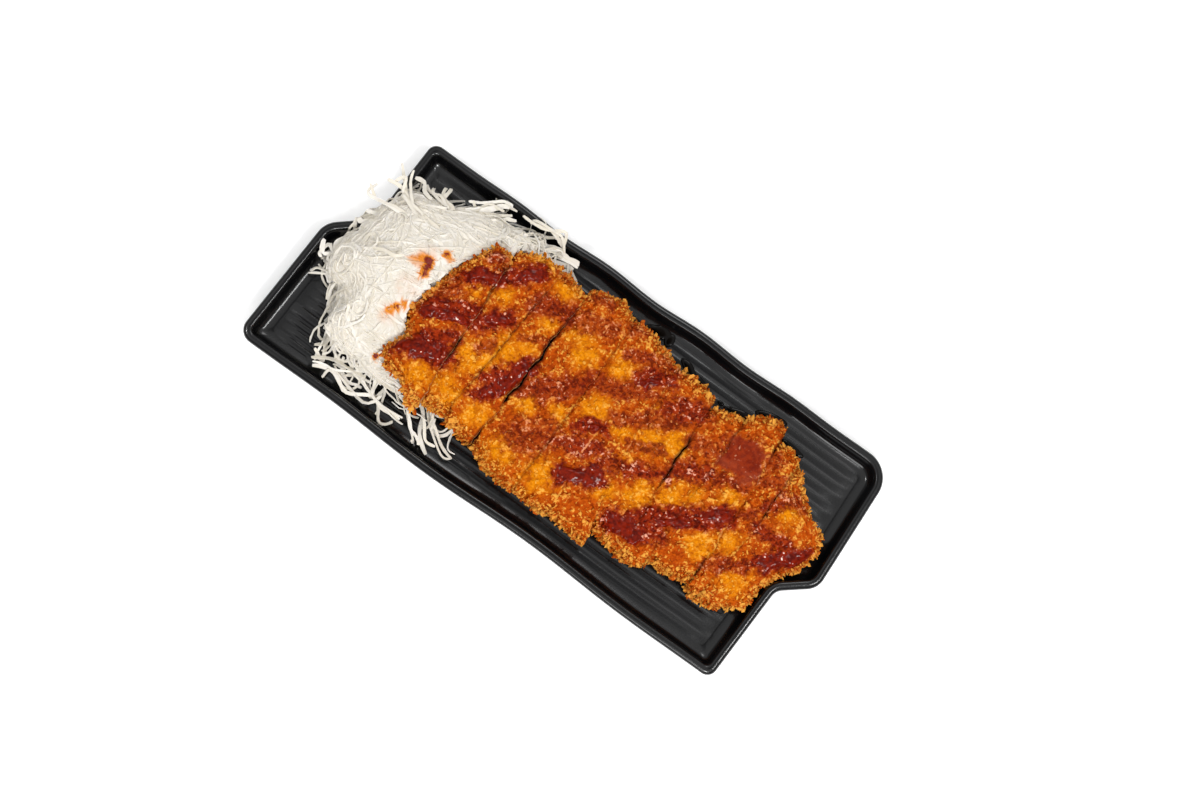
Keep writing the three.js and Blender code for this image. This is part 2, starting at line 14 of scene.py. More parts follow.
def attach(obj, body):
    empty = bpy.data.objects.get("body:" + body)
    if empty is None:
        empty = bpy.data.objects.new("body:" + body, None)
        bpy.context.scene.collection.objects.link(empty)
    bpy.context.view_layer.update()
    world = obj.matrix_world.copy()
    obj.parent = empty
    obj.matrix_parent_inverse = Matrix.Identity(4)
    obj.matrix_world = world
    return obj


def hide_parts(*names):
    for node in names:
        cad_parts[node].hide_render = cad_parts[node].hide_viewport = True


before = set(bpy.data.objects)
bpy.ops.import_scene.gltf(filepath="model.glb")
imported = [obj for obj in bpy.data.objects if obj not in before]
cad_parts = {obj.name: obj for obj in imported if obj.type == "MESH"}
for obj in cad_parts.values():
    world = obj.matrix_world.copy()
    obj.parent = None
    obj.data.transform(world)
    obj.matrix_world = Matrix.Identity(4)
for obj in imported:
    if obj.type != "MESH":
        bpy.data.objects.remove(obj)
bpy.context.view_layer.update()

MM = 0.001
BODY = "root"

# Camera over the plate: lens and sensor in mm, tilt above the horizon and roll in degrees
LENS = 60
SENSOR = 36
CAMERA_TARGET = (9.8, 10.2, 12)
CAMERA_DISTANCE = 945
CAMERA_TILT = 80
CAMERA_ROLL = 36.217

# Plate: heights of its rim and floor, inset of the floor, and how finely corners and section are drawn
RIM_Z = 14
FLOOR_Z = 6
FLOOR_INSET = 11
SMALLEST_CORNER = 2.5
CORNER_STEPS = 12
SECTION_STEPS = 3

# Plate corners, anticlockwise from the far left one: x, y, radius, points on the side that follows
CORNERS = [
    (-126.7, 63.5, 5, 90),
    (-126.9, 16.3, 7, 40),
    (-144.2, 0.8, 12, 124),
    (-145.1, -65.7, 7, 110),
    (127.8, -65.7, 5, 90),
    (129.5, -13.9, 7, 40),
    (145.2, -1.1, 10, 124),
    (142.5, 66.9, 14, 110),
]

# Long sides that wave: the corner each starts from, depth of the wave, number of waves
WAVES = {3: (1.1, 2), 7: (0.7, 4.5)}

# Section of the plate from the foot, up the outside, over the rim and down to the floor: inset, height
SECTION = [
    (10, 0), (7.8, 0.8), (2.6, 8), (0.4, 11.4), (0, 12.4), (0.4, 13.3), (1.4, RIM_Z), (3.2, RIM_Z),
    (4, 13.5), (4.5, 12.4), (5, 9.6), (5.7, 8), (6.8, 7), (8.4, 6.4), (FLOOR_INSET, FLOOR_Z),
]
CREST = 6

# Carved ribs along the floor
RIB_COUNT = 23
RIB_PITCH = 4.9
RIB_HEIGHT = 0.8
RIB_HALF_WIDTH = 2.15
RIB_LEFT = -136
RIB_RIGHT = 134
RIB_UPPER_LEFT = -120
RIB_LOWER_RIGHT = 122
RIB_LOWER_Y = -14
RIB_FADE = 9
RIB_FAINTEST = 0.3
RIB_LEAST = 0.7
RIB_ROUND = 5
RIB_STRETCH = 9
RIB_PATCH_STRETCH = 3
RIB_SEED = 62
PLATE_SMOOTH = 30

# Strips of the floor, by y, over which the ribs grow wider and their grooves duller towards the far side
RIBS_WIDEN = (-52, -20)
GROOVES_DULL = (-45, -15)

# Bed that the cutlet lies on, just above the ribs
GAP = 0.3
BED_Z = FLOOR_Z + RIB_HEIGHT + GAP

# Crust over a slice: share of its height that stands steep, round of its shoulder, lean of its wall,
# spacing of its points, rows down the wall and round the shoulder, and sharpest edge that is shaded smooth
EDGE_SHARE = 0.38
EDGE_ROUND = 8
WALL_LEAN = 0.4
GRAIN = 0.42
WALL_ROWS = 12
ROUND_ROWS = 30
CRUST_SMOOTH = 55

# Crumb: its depth, how much rougher it is at the ends, size and seed of its flakes, their steps and edges
CRUMB_DEPTH = 0.95
END_CRAG = 1.9
BROAD_FLAKES = (3.2, 71)
SMALL_FLAKES = (1.5, 73)
FLAKE_STEP = 0.6
FLAKE_EDGE = 0.3

# Cuts: y at either end of each, how they wander, how the crust sinks beside them, and how it is painted
# darker there as their shade
CUT_REACH = 40
BORDER_SAMPLES = 41
CUT_LEAST = -0.15
CUT_RAGGED = 0.25
CUT_WOBBLE = 0.7
FINE_WOBBLE = 0.4 * CUT_WOBBLE
CUT_SAG = 0.5
CUT_SAG_REACH = 3
CREASE_SHADE_REACH = 1.3
CREASE_SHADE_GAP = 0.45

# Lip of crust beside a cut, on the slice's side that faces the main light, painted paler as a highlight
# and with less sauce: its width, the first slice that has one (counted from 0), its looks
LIP = 1.4
FIRST_LIP = 3
LIP_HIGHLIGHT = 0.4
LIP_DRY = 0.5

# Share of the full height over which the ends turn into the top, and how much of each cover the ends keep
TOP_FROM = (0.6, 0.92)
END_SOAK = 0.3
END_FILM = 0.15
END_BARE = 0.6
CUT_FACE_COVER = 0.5

# What the crust's material reads at each point
COVERS = ("relief", "soak", "film", "pool", "bare", "satin", "crease_shade", "meat")

# Loose crumb flakes: where they lie, and what keeps them off
FLAKE_COUNT = 9000
FLAKE_SEED = 5
FLAKE_LEAST_Z = 1.5
FLAKES_ON_TOP = 0.3
FLAKES_ON_ENDS = 1.4
STEEP_FROM = (0.98, 0.6)
FLAKES_KEPT_OFF = {"film": 0.85, "pool": 1, "crease_shade": 0.9}

# Loose crumb flakes: their lean in degrees, half length, shares of it in breadth and thickness, and looks
FLAKE_LEAN = 75
FLAKE_LENGTHS = (0.4, 2.6)
FLAKE_BREADTH = (0.35, 0.8)
FLAKE_THICKNESS = 0.32
FLAKE_JAG = (0.55, 1.25)
FLAKE_SHADE = (0.48, 0.95)
FLAKE_COVER = 0.8

# Loops down a cut face: share of the height left, and 1 where bare meat shows
CUT_LOOPS = [(0.93, 0), (0.89, 1), (0.5, 1), (0.1, 1), (0.07, 0), (0, 0)]

# Cuts through the cutlet from left to right: x at y = +40, x at y = -40, sideways bow at the middle, and
# how far each side stands back from the cut
CUTS = [
    (-61.4, -57, 0, 0.45),
    (-39.5, -43.8, 0, 0.2),
    (-23.9, -26.6, 0.4, 0.7),
    (1.4, 1.4, 0.3, 0.36),
    (18, 20, -1.3, 0.05),
    (31, 40.4, -2.4, 0.15),
    (53.8, 59, -0.9, 0.6),
    (70.9, 71, 0.4, 0.42),
    (90.4, 93.6, 0.6, 0.45),
    (103.6, 99.6, 1.8, 0.3),
]

# Uncut crust edge at the left end and at the right end: y, x
LEFT_EDGE = [
    (-48, -73), (-38.5, -79), (-33.8, -83.5), (-22.5, -79.2), (-12.5, -85.5), (0, -83), (17, -79),
    (28, -74.6), (37, -69),
]
RIGHT_EDGE = [
    (-39, 106), (-36, 111.4), (-30.4, 120), (-26, 122), (-17, 121.6), (-7, 126.4), (0, 132), (12, 135),
    (20, 132), (25.6, 119.4), (33, 110.4), (39, 107.4),
]

# Slices: far end y at the left and right side, its bulge, the same of the near end, heights of the
# underside above the bed at the left and right side, and thickness at the left and right side
SLICE_ROWS = [
    ((36, 33, 1), (-39, -46.8, 3), (21, 14.5), (11.5, 15.4)),
    ((39.6, 46.6, 3.4), (-41, -40, 0.3), (12.4, 7.6), (14.6, 15.4)),
    ((47.2, 43.8, 1.2), (-40, -44, 0.6), (6.6, 2.4), (14.6, 15)),
    ((48, 49, 5), (-43, -49.2, 2), (0, 0), (14.8, 16.6)),
    ((50, 46.6, 2.4), (-48.8, -48.4, 0.6), (0, 0), (14.4, 15)),
    ((47.6, 43.6, 0.4), (-46.8, -49.6, 0.6), (0, 0), (15, 15.2)),
    ((43, 41.6, 1.8), (-40.4, -43.4, 1), (0, 0), (15, 16.6)),
    ((38, 42.8, 0.4), (-43.6, -41, 2), (0, 0), (14.2, 14.8)),
    ((43.6, 51, 3), (-37.6, -34, 1.2), (0, 0), (14.6, 16)),
    ((42.6, 41, 3), (-36, -38.6, 1.8), (0, 0), (13.6, 13.8)),
    ((38.4, 37.6, 0), (-38.6, -38.4, 0), (0, 3), (13.4, 7.6)),
]
SLICES = [dict(zip(("far", "near", "lift", "thick"), row)) for row in SLICE_ROWS]

# Sauce drizzled across the crust: start x, y, end x, y, width, and how thick it lies, from 0 to 1
DRIZZLE = [
    (-70.6, 30.6, -65.6, 38.6, 8, 0.7), (-80, 10, -72, 16, 8, 0.6), (-72, 16.6, -60.6, 24.6, 7, 1),
    (-82, -1, -72, 8, 7, 0.5), (-85, -8, -60.6, 4, 9, 0.85), (-70.6, -16.4, -60.6, -10.4, 7, 0.8),
    (-82, -29, -61, -19.4, 11, 1), (-57.6, 29.6, -45.6, 38.6, 7, 0.9), (-58, 1, -45.6, 12.6, 8, 0.9),
    (-50, -7, -45, -2, 5, 0.5), (-41, 46, -29, 48.6, 6, 0.5), (-40.6, 26.6, -25, 32.6, 8, 0.65),
    (-36.6, 10.6, -26, 16.6, 4, 0.45), (-34.6, -15.4, -25.4, 0.6, 9, 1),
    (-38.6, -24.4, -32.6, -18.4, 6, 0.8), (-22, 50, -15.6, 48.6, 8, 0.55),
    (-18.6, 34, -4.6, 38.6, 8, 0.5), (-20.6, -8.4, 0.4, 10.6, 9, 0.65),
    (-10.6, -27.4, 0.4, -20.4, 14, 0.5), (3, 44.6, 7, 49, 6, 0.5), (8.4, 34.6, 17.4, 39, 5, 0.6),
    (2.4, 13, 19, 20.6, 8, 0.55), (8, -8, 19.4, -1.4, 6, 0.85), (2, -20, 11.4, -15, 6, 0.7),
    (11.4, -17.4, 24, -10.4, 7, 0.75), (21, 37, 31, 44.6, 9, 0.5), (21, 29, 29, 35, 10, 0.8),
    (20, 21, 31, 26.6, 5, 0.55), (20.6, 5.6, 32, 13, 5, 0.55), (28, -16, 44.6, -7.4, 7, 0.65),
    (16, -31, 29, -21.4, 9, 1), (38.4, 25, 52, 31, 10, 0.75), (33.4, 14.6, 47.4, 22.6, 6, 0.5),
    (33.4, 0, 47.4, 6.6, 4, 0.5), (38.4, -11.4, 56, -2.4, 6, 0.8), (48.4, -33.4, 60, -28, 11, 1),
    (55.4, 17.6, 69.4, 23, 6, 0.5), (58, 3, 70.4, 10.6, 8, 0.75), (57, -26, 91.4, -0.4, 9, 0.9),
    (60, -31.4, 71, -26.6, 6, 0.75), (77, 26.4, 83, 26.4, 15, 0.8), (75.4, 10.6, 89.4, 17, 5, 0.6),
    (92, 33, 95, 36, 6, 0.5), (93, 22, 102.4, 28.6, 5, 0.5), (92, 2, 99, 8.6, 5, 0.6),
    (93, -26, 102.6, -18, 5, 0.5), (107, 23, 117.4, 28, 8, 0.6), (102.6, 14, 107.4, 19.6, 6, 0.7),
    (104.4, 2.6, 121, 5.6, 6, 0.75), (115.4, -8, 133, 7, 8, 1), (100.4, -22.4, 113, -10.8, 5, 0.65),
]

# Places where the sauce stands thick and glossy: start x, y, end x, y, radius
POOLS = [
    (-81, -29, -69, -23.6, 5), (-68, -23, -62.6, -21, 3.4), (-71, 19, -61.6, 24, 3),
    (-78, -9, -62, -1, 2.6), (-54, 33, -47.6, 36, 2.5), (-53.6, 5.4, -46.6, 11, 2.5),
    (-30.6, -15, -26.4, -2.4, 3.8), (-36.6, -22.4, -33.4, -19.4, 2.4), (17, -29, 28, -22.4, 4.4),
    (49.4, -32.4, 59.6, -33, 4.6), (66, -22, 78, -14, 2.4), (81.6, -6.6, 89.4, -1, 2.8),
    (118, -6.6, 132.4, 6.6, 3.3), (14.6, -4.4, 17.4, -2.6, 1.8), (22, 27, 27, 31, 2.4),
]
SAUCE_RELIEF = 0.4
POOL_RELIEF = 0.9
POOL_LUMPS = 0.4

# Soft edges of sauce, bare crust and stains, as shares of the half width: where each ends and is full
SOAK_EDGE = (2, 0.8)
FILM_EDGE = (1.5, 0.6)
POOL_EDGE = (1.25, 0.65)
SATIN_EDGE = (1.25, 0.75)
BARE_EDGE = (1.8, 0.2)
STAIN_EDGE = (1.4, 0.5)

# Square of smooth sauce film, partly painted a paler pinkish brown that stands in for its sheen: middle x,
# y, half side
SATIN = (80.4, 26.4, 8.8)

# Bare golden crust between the sauce: x, y, radius
BARE = [
    (-50, -14, 7), (-43.6, -7, 6), (-38, 1, 6), (-33, 8, 5), (-31, 22, 4), (-68, 14, 4), (-64, -34, 6),
    (-50, -32, 6), (-33, -33, 6), (-55, 20, 4), (-48, 44, 5), (-33, 40, 5), (-15, 28, 7), (-8, 21, 6),
    (-17, -13, 5), (-14, -39, 7), (-3, -8, 4), (10, 4, 6), (9, 27, 6), (27, 3, 5), (36, 22, 4),
    (40, 8, 7), (49, 13, 7), (37, -9, 5), (50, -13, 5), (51, -20, 6), (36, -24, 5), (8, -37, 8),
    (64, -9, 7), (72, -2, 4), (85, 7, 5), (88, -20, 7), (98, -9, 5), (112, 19, 6), (110, -23, 7),
]

# Cabbage heap: its summit, and the outline of its foot, anticlockwise from the left: x, y
HEAP = {"x": -100, "y": -1, "top": 36}
HEAP_OUTLINE = [
    (-134, -8), (-131, -18), (-121, -21), (-116, -30), (-114, -44), (-90, -47), (-60, -48), (-34, -43),
    (-30, -1), (-34, 50), (-52, 60), (-70, 55), (-88, 51), (-100, 44), (-122, 37), (-128, 20), (-130, 6),
]
HEAP_FOOT = BED_Z + 1.5
HEAP_WALL_CLEAR = 10.5
WALL_STEP = 0.5
WALL_TRIES = 120
HEAP_FULLNESS = 0.6
CORE_MARGIN = 2
SHRED_MARGIN = 0.8

# Core that closes the view between the shreds
CORE_SINK = 1.1
CORE_REACH = 0.74
CORE_TINT = 0.3

# Points of a shred, and the fewest that may be left of one that a slice cuts short
STRAY_STEPS = 5
SHRED_POINTS = 3 * STRAY_STEPS + 1
LEAST_RUN = 5
SHRED_SEED = 17

# Shreds that lie on the heap: how many, share of its foot that they reach, lengths and layers
FINE_SHREDS = (1500, 0.92, (18, 55), (-0.3, 0.9))
BROAD_SHREDS = (560, 0.85, (14, 36), (0, 0.9))
HEAP_MIDDLE = 0.65
LYING_TURN = 0.5
LYING_BENDS = (0.06, 0.09)
LYING_HOLD = (0.7, 0.93)
LYING_SWING = 0.25
SWING_RATE = (0.3, 0.8)

# Shreds that curl out of the heap's foot: how many and their lengths
BORDER_SHREDS = (620, (9, 34))
BORDER_START = (0.62, 0.95)
BORDER_TURN = 0.9
BORDER_BENDS = (0.15, 0.2)
BORDER_LAYERS = (-0.5, 1.2)
BORDER_LIFT = 1.2
BORDER_LIFT_MOST = 5
LOOSE_REACH = 1.2

# Shreds that are placed one by one, and what sets their copies apart
STRAY_COPY_SPREAD = 2.6
STRAY_COPY_WAYS = (1, 1, 0.3)
STRAY_SWING = 0.6
STRAY_WAVES = 8

# Kinds of shred: width, thickness and twist
FINE_SIZES = ((0.9, 2.0), (0.4, 0.6), 0.3)
CURL_SIZES = ((0.7, 1.7), (0.4, 0.6), 0.5)
STRIP_SIZES = ((1.6, 3.2), (0.3, 0.5), 0.3)
TWIST_WANDER = 0.3
WIDTH_UNEVEN = (0.8, 1.2)
SHRED_SMOOTH = 50

# Width and thickness of a shred at its tip, as shares of the full ones, and what each further point adds
TIP_WIDTH = (0.65, 0.2)
TIP_THICKNESS = (0.6, 0.4)

# Height that the slices leave free for the cabbage under them: x, z
HEAP_BED = [(-86, 27.4), (-61, 19.2), (-44, 13.4), (-25, 9.2)]

# Long shreds that stand out of the heap: points x, y, z
STRAYS = [
    [(-108, 22, 31), (-120, 24, 28), (-131, 22.6, 25.2), (-136.5, 26, 24.4)],
    [(-106, 28, 29), (-118, 31, 26), (-125, 33.6, 24), (-131.5, 34, 23.6)],
    [(-106, 24, 30), (-117, 31, 27), (-121, 38, 24), (-125, 44, 23)],
    [(-112, -8, 31), (-126, -11, 22), (-133, -9, 15.5), (-135, -5, 14.5)],
    [(-112, -12, 29), (-125, -16, 19), (-133, -19, 14), (-136, -22, 14)],
    [(-96, 30, 28), (-88, 46, 19), (-80, 54, 15), (-75, 56, 14.6)],
    [(-72, 38, 19), (-62, 49, 16), (-52, 55, 14.5), (-46, 55.4, 13)],
    [(-64, 42, 17.5), (-54, 50.6, 16), (-44, 53.4, 14), (-36, 55, 13.4)],
    [(-96, -38, 16), (-86, -49, 12.4), (-74, -52, 10), (-60, -52, 9)],
    [(-84, -44, 14), (-96, -51, 12), (-104, -53.4, 9.6), (-109, -55, 9.4)],
    [(-60, -38, 12.5), (-52, -47, 10.5), (-45, -53, 9), (-40, -54, 9)],
    [(-56, -38, 12), (-46, -48, 10), (-36, -55, 9), (-30, -53, 9)],
    [(-122, -19, 15), (-122.5, -25, 11), (-120, -29.5, 9), (-117.5, -25, 10)],
    [(-131, -8, 16), (-136, -7, 14), (-138, -11, 13), (-135, -13, 13)],
    [(-116, -30, 14), (-113, -40, 11), (-110.5, -49, 9), (-109, -54, 8.6)],
    [(-108, -56.6, 9), (-99, -54, 9), (-88, -57, 9), (-77, -52, 10)],
    [(-94, -48, 11), (-80, -51, 9.4), (-70, -53, 8.6), (-61, -53.6, 8.4)],
    [(-62, -47, 11), (-55, -52, 9), (-50, -55, 8.4), (-47, -57.6, 9)],
    [(-95, 48, 20), (-90, 54, 16), (-83, 58, 17), (-78, 60, 18.6)],
    [(-66, 59, 18), (-60, 61, 20.6), (-51, 61, 20.6), (-44, 56, 14)],
    [(-116, 44.6, 14), (-112, 42, 17), (-107, 42, 20), (-100, 40, 22)],
    [(-109, 48, 14), (-107, 45, 17), (-104, 42, 20), (-98, 40, 22)],
]

# Broad strips at the heap's foot: points x, y, z
RIBBONS = [
    [(-94, 44, 20), (-88, 50, 17.5), (-82, 56, 16.5), (-77.5, 60.5, 17)],
    [(-80, 43, 19), (-78, 48, 17), (-76, 53, 16), (-73, 56, 15.5)],
    [(-66, 58.5, 16), (-60, 61, 17.5), (-54, 61.5, 17.5), (-47, 58, 14.5)],
    [(-58, 51, 15), (-50, 55.5, 14.5), (-44, 55.5, 13.5), (-36, 57.5, 13.5)],
    [(-130, -12, 15), (-133, -5, 15.5), (-131.5, 1, 16.5), (-127, 6, 19)],
    [(-129, -15, 14.5), (-125, -17.5, 14.5), (-120, -17.5, 15), (-114, -14, 21)],
    [(-72, 49, 16), (-66, 52, 15.5), (-60, 52, 15), (-53, 54, 14.5)],
    [(-118, 14, 25), (-124, 13, 21), (-129, 11.5, 18), (-132.5, 11.5, 16.5)],
    [(-120, 4, 24), (-126, 4.5, 19.5), (-130, 3, 17), (-133, 2, 15.5)],
    [(-119, 20, 24), (-124, 19, 20.5), (-128, 18, 18.5), (-131, 15.5, 17)],
    [(-118, -6, 25), (-125, -5, 20), (-130, -3.5, 17), (-133.5, -6, 15.5)],
    [(-110, 38, 22), (-115, 41, 18.5), (-119, 43.5, 15.5), (-122.5, 44, 14.8)],
]

# Sauce and orange oil that ran onto the cabbage: x, y, radius, and how dark
CABBAGE_STAINS = [
    (-91.6, 11, 2.4, 1.2), (-90.6, 8, 2.4, 1.2), (-89.6, 5, 2.2, 1.2), (-94, 9.6, 4.6, 0.45),
    (-97.5, 7.6, 2.4, 0.4), (-87, 18.8, 2, 0.75), (-84.6, 17.6, 1.8, 0.7), (-92.6, -18.4, 2, 0.66),
    (-90.6, -15, 2, 0.66), (-88.6, -11.6, 2, 0.6), (-85.6, -38, 1.5, 0.75), (-92, -4, 7, 0.12),
    (-92, -19, 6, 0.14), (-94, 13, 6, 0.14),
]

# Oil that ran off onto the plate: x, y, half length, half width, turn in degrees
OIL_DROPS = [
    (13.4, 55, 6.6, 3.6, 15), (20, 54.6, 2.4, 3.6, 0), (35.4, 48.8, 5.2, 2.6, -20),
    (57.4, 44.6, 1.7, 1.2, 0), (62.5, 45.6, 1.1, 0.8, 30), (44.6, 46.4, 6.4, 2, -14),
    (67, 45.6, 7.6, 2.2, 12), (81, 53.4, 8.6, 2.6, 14), (97.6, 47.4, 7, 1.7, -3),
]
OIL_SECTION = [(1, -0.3), (0.985, 0.5), (0.95, 0.8), (0.88, 0.98), (0.76, 1.08), (0.4, 1.12)]
OIL_POINTS = 40
OIL_UNEVEN = 0.28

# Soft noises in layers: weight, size and seed of each
RIB_DRIFT = [(0.9, 7, 61)]
RIB_PATCHES = [(1, 22, 63)]
SAUCE_DRIFT_X = [(1.5, 6, 31), (0.8, 1.9, 32)]
SAUCE_DRIFT_Y = [(1.5, 6, 33), (0.8, 1.9, 34)]
SAUCE_PATCHES = [(0.35, 3.2, 35), (0.35, 1.3, 36)]
SATIN_RAGGED = [(0.3, 5, 37), (0.1, 1.5, 40)]
BARE_RAGGED = [(0.35, 4, 38), (0.15, 1.5, 39)]
POOL_SWELL = [(1, 3.4, 91), (0.2, 1.6, 92)]
FINE_CRUMB = [(0.3, 0.8, 75)]
CORE_UNEVEN = [(0.4, 4, 41)]
STAIN_PATCHES = [(0.5, 2.5, 43)]

# Soft noises along a line: size and seed
WOBBLE_NOISE = (8, 81)
FINE_WOBBLE_NOISE = (2.5, 82)
GAP_NOISE = (14, 83)
LIP_NOISE = (8, 84)
SAG_NOISE = (9, 85)
LEFT_EDGE_NOISE = (1.4, 79)
RIGHT_EDGE_NOISE = (1.4, 80)
OIL_NOISE = (1.05, 51)
LANE_STEP = 9.5

# Numbers that scatter whole numbers, as common hash functions do
HASH_PLACES = np.array([73856093, 19349663, 83492791], np.uint64)
HASH_SEED = 2654435761
HASH_STEP = np.uint64(0x9E3779B97F4A7C15)
HASH_ROUNDS = [
    (np.uint64(30), np.uint64(0xBF58476D1CE4E5B9)),
    (np.uint64(27), np.uint64(0x94D049BB133111EB)),
]
HASH_DROP = np.uint64(11)
HASH_FULL = 2.0**53

# Lights: the main one from the near right, and weaker ones all round that fill the shadows and strike
# glints, in metres and watts: name, place, size, power
LIGHTS = [
    ("light_key", (0.45, -0.5, 1.0), 0.2, 6.3),
    ("light_right", (0.55, 0.1, 1.1), 0.14, 2.4),
    ("light_far", (-0.05, 0.7, 1.0), 0.3, 1.6),
    ("light_left", (-0.65, -0.25, 1.0), 0.07, 2.2),
    ("light_near", (0.2, -0.8, 0.6), 0.35, 2.6),
]

# Light of the room: low all round, a broad bright ring high up and dark in its middle, which lies off the
# point straight above. The ring's edges are heights on a globe of radius 1.
ROOM_MIDDLE = (-0.0175, 0.14, 1)
ROOM_LOW = 0.28
ROOM_RING = 0.62
RING_INNER = (0.9981, 0.9877)
RING_OUTER = (0.57, 0.71)
LIGHT_AIM = (0, 0, 0.02)
TABLE_SIZE = 8


# Small maths

def mix(a, b, share):
    return a + (b - a) * share


def smooth_step(low, high, value):
    share = np.clip((value - low) / (high - low), 0, 1)
    return share * share * (3 - 2 * share)


def along_pairs(pairs, place):
    places, values = zip(*pairs)
    return np.interp(place, places, values)


def hashed(cells, seed):
    """Three repeatable random numbers from 0 to 1 for each cell of whole numbers."""
    key = cells.astype(np.int64).astype(np.uint64)
    state = np.sum(key * HASH_PLACES, axis=1) + np.uint64(seed * HASH_SEED)
    numbers = []
    for _ in range(3):
        state = state + HASH_STEP
        bits = state
        for shift, factor in HASH_ROUNDS:
            bits = (bits ^ (bits >> shift)) * factor
        numbers.append((bits >> HASH_DROP).astype(float) / HASH_FULL)
    return np.stack(numbers, axis=1)


def smooth_noise(points, size, seed):
    """Soft noise from -1 to 1 whose lumps have that size."""
    place = points / size
    cell = np.floor(place)
    share = place - cell
    share = share * share * (3 - 2 * share)
    total = np.zeros(len(points))
    for corner in np.ndindex(2, 2, 2):
        weight = np.prod(np.where(corner, share, 1 - share), axis=1)
        total += weight * hashed(cell + corner, seed)[:, 0]
    return total * 2 - 1


def flake_field(points, size, seed):
    """For each point the tilted flake of crumb under it: height from -1 to 1 and nearness to its edge."""
    place = points / size
    cell = np.floor(place)
    nearest = np.full(len(points), np.inf)
    second = np.full(len(points), np.inf)
    height = np.zeros(len(points))
    for corner in np.ndindex(3, 3, 3):
        there = cell + np.array(corner) - 1
        chance = hashed(there, seed)
        offset = place - (there + chance)
        distance = np.linalg.norm(offset, axis=1)
        tilt = hashed(there, seed + 1) * 2 - 1
        level = (chance[:, 0] * 2 - 1) * FLAKE_STEP + np.sum(offset * tilt, axis=1)
        closer = distance < nearest
        second = np.where(closer, nearest, np.minimum(second, distance))
        height = np.where(closer, level, height)
        nearest = np.where(closer, distance, nearest)
    return np.clip(height, -1, 1), 1 - np.clip((second - nearest) / FLAKE_EDGE, 0, 1)


def flat_points(x, y):
    return np.stack([x, y, np.zeros_like(x)], axis=1)


def rough(points, layers):
    """Soft noises added up, with the weight, size and seed of each layer."""
    return sum(weight * smooth_noise(points, size, seed) for weight, size, seed in layers)


def line_noise(places, lane, size, seed):
    """Soft noise along a line, another one in each lane."""
    flat = np.ravel(places)
    points = np.stack([flat, np.full(len(flat), lane * LANE_STEP * size), np.zeros(len(flat))], axis=1)
    return smooth_noise(points, size, seed).reshape(np.shape(places))


def stroke_distance(x, y, stroke):
    ax, ay, bx, by = stroke
    dx, dy = bx - ax, by - ay
    share = np.clip(((x - ax) * dx + (y - ay) * dy) / (dx * dx + dy * dy), 0, 1)
    return np.hypot(x - ax - share * dx, y - ay - share * dy)


# Meshes

def new_mesh_object(name, points, faces):
    """A piece from arrays of points in millimetres and faces."""
    mesh = bpy.data.meshes.new(name)
    mesh.from_pydata(np.asarray(points) * MM, [], faces)
    mesh.shade_smooth()
    piece = bpy.data.objects.new(name, mesh)
    bpy.context.scene.collection.objects.link(piece)
    return piece


def deselect_all():
    bpy.ops.object.select_all(action="DESELECT")


def flat_circle(name, count, radius):
    """A new flat round piece of that radius in millimetres, to be drawn into its form."""
    deselect_all()
    bpy.ops.mesh.primitive_circle_add(vertices=count, radius=radius * MM, fill_type="NGON")
    piece = bpy.context.object
    piece.name = name
    return piece


def edit_all():
    bpy.ops.object.mode_set(mode="EDIT")
    bpy.ops.mesh.select_all(action="SELECT")


def draw_rim(rings, lift=0):
    """The rim of the piece in hand drawn out by so many rings, the last of which stays selected."""
    edit_all()
    bpy.ops.mesh.region_to_loop()
    for _ in range(rings):
        bpy.ops.mesh.extrude_edges_move(TRANSFORM_OT_translate={"value": (0, 0, lift)})


def close_rim():
    bpy.ops.mesh.edge_face_add()
    bpy.ops.object.mode_set(mode="OBJECT")


def face_outward():
    edit_all()
    bpy.ops.mesh.normals_make_consistent(inside=False)
    bpy.ops.object.mode_set(mode="OBJECT")


def smooth_below(degrees):
    bpy.ops.object.shade_smooth_by_angle(angle=math.radians(degrees))


def read_points(piece):
    numbers = np.empty(len(piece.data.vertices) * 3)
    piece.data.vertices.foreach_get("co", numbers)
    return numbers.reshape(-1, 3) / MM


def write_points(piece, points):
    piece.data.vertices.foreach_set("co", (points * MM).ravel())
    piece.data.update()


def write_attribute(piece, name, values):
    attribute = piece.data.attributes.new(name, "FLOAT", "POINT")
    attribute.data.foreach_set("value", np.asarray(values, np.float32))


def finish_piece(piece, material, slot, *nodes):
    piece.data.materials.clear()
    piece.data.materials.append(material)
    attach(piece, BODY)
    if nodes:
        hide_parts(*nodes)


# Finishes

class Value:
    """A number on a shader wire: an expression on it adds Math nodes."""

    def __init__(self, finish, socket):
        self.finish = finish
        self.socket = socket

    def math(self, operation, first, second):
        return self.finish.node("ShaderNodeMath", {"operation": operation}, {0: first, 1: second})

    def __add__(self, other):
        return self.math("ADD", self, other)

    def __radd__(self, other):
        return self.math("ADD", other, self)

    def __sub__(self, other):
        return self.math("SUBTRACT", self, other)

    def __rsub__(self, other):
        return self.math("SUBTRACT", other, self)

    def __mul__(self, other):
        return self.math("MULTIPLY", self, other)

    def __rmul__(self, other):
        return self.math("MULTIPLY", other, self)


class Wiring:
    """A tree of shader nodes, which are added by node()."""

    def __init__(self, tree):
        self.tree = tree

    def node(self, kind, settings, inputs, output=0):
        made = self.tree.nodes.new(kind)
        for name, value in settings.items():
            setattr(made, name, value)
        for key, value in inputs.items():
            self.feed(made.inputs[key], value)
        return Value(self, made.outputs[output])

    def feed(self, socket, value):
        if isinstance(value, Value):
            self.tree.links.new(value.socket, socket)
        else:
            socket.default_value = value

    def ramp(self, value, low, high, to_low=0.0, to_high=1.0):
        """The value moved from one range to another, and held inside it."""
        names = {"Value": value, "From Min": low, "From Max": high, "To Min": to_low, "To Max": to_high}
        return self.node("ShaderNodeMapRange", {"interpolation_type": "SMOOTHSTEP"}, names)


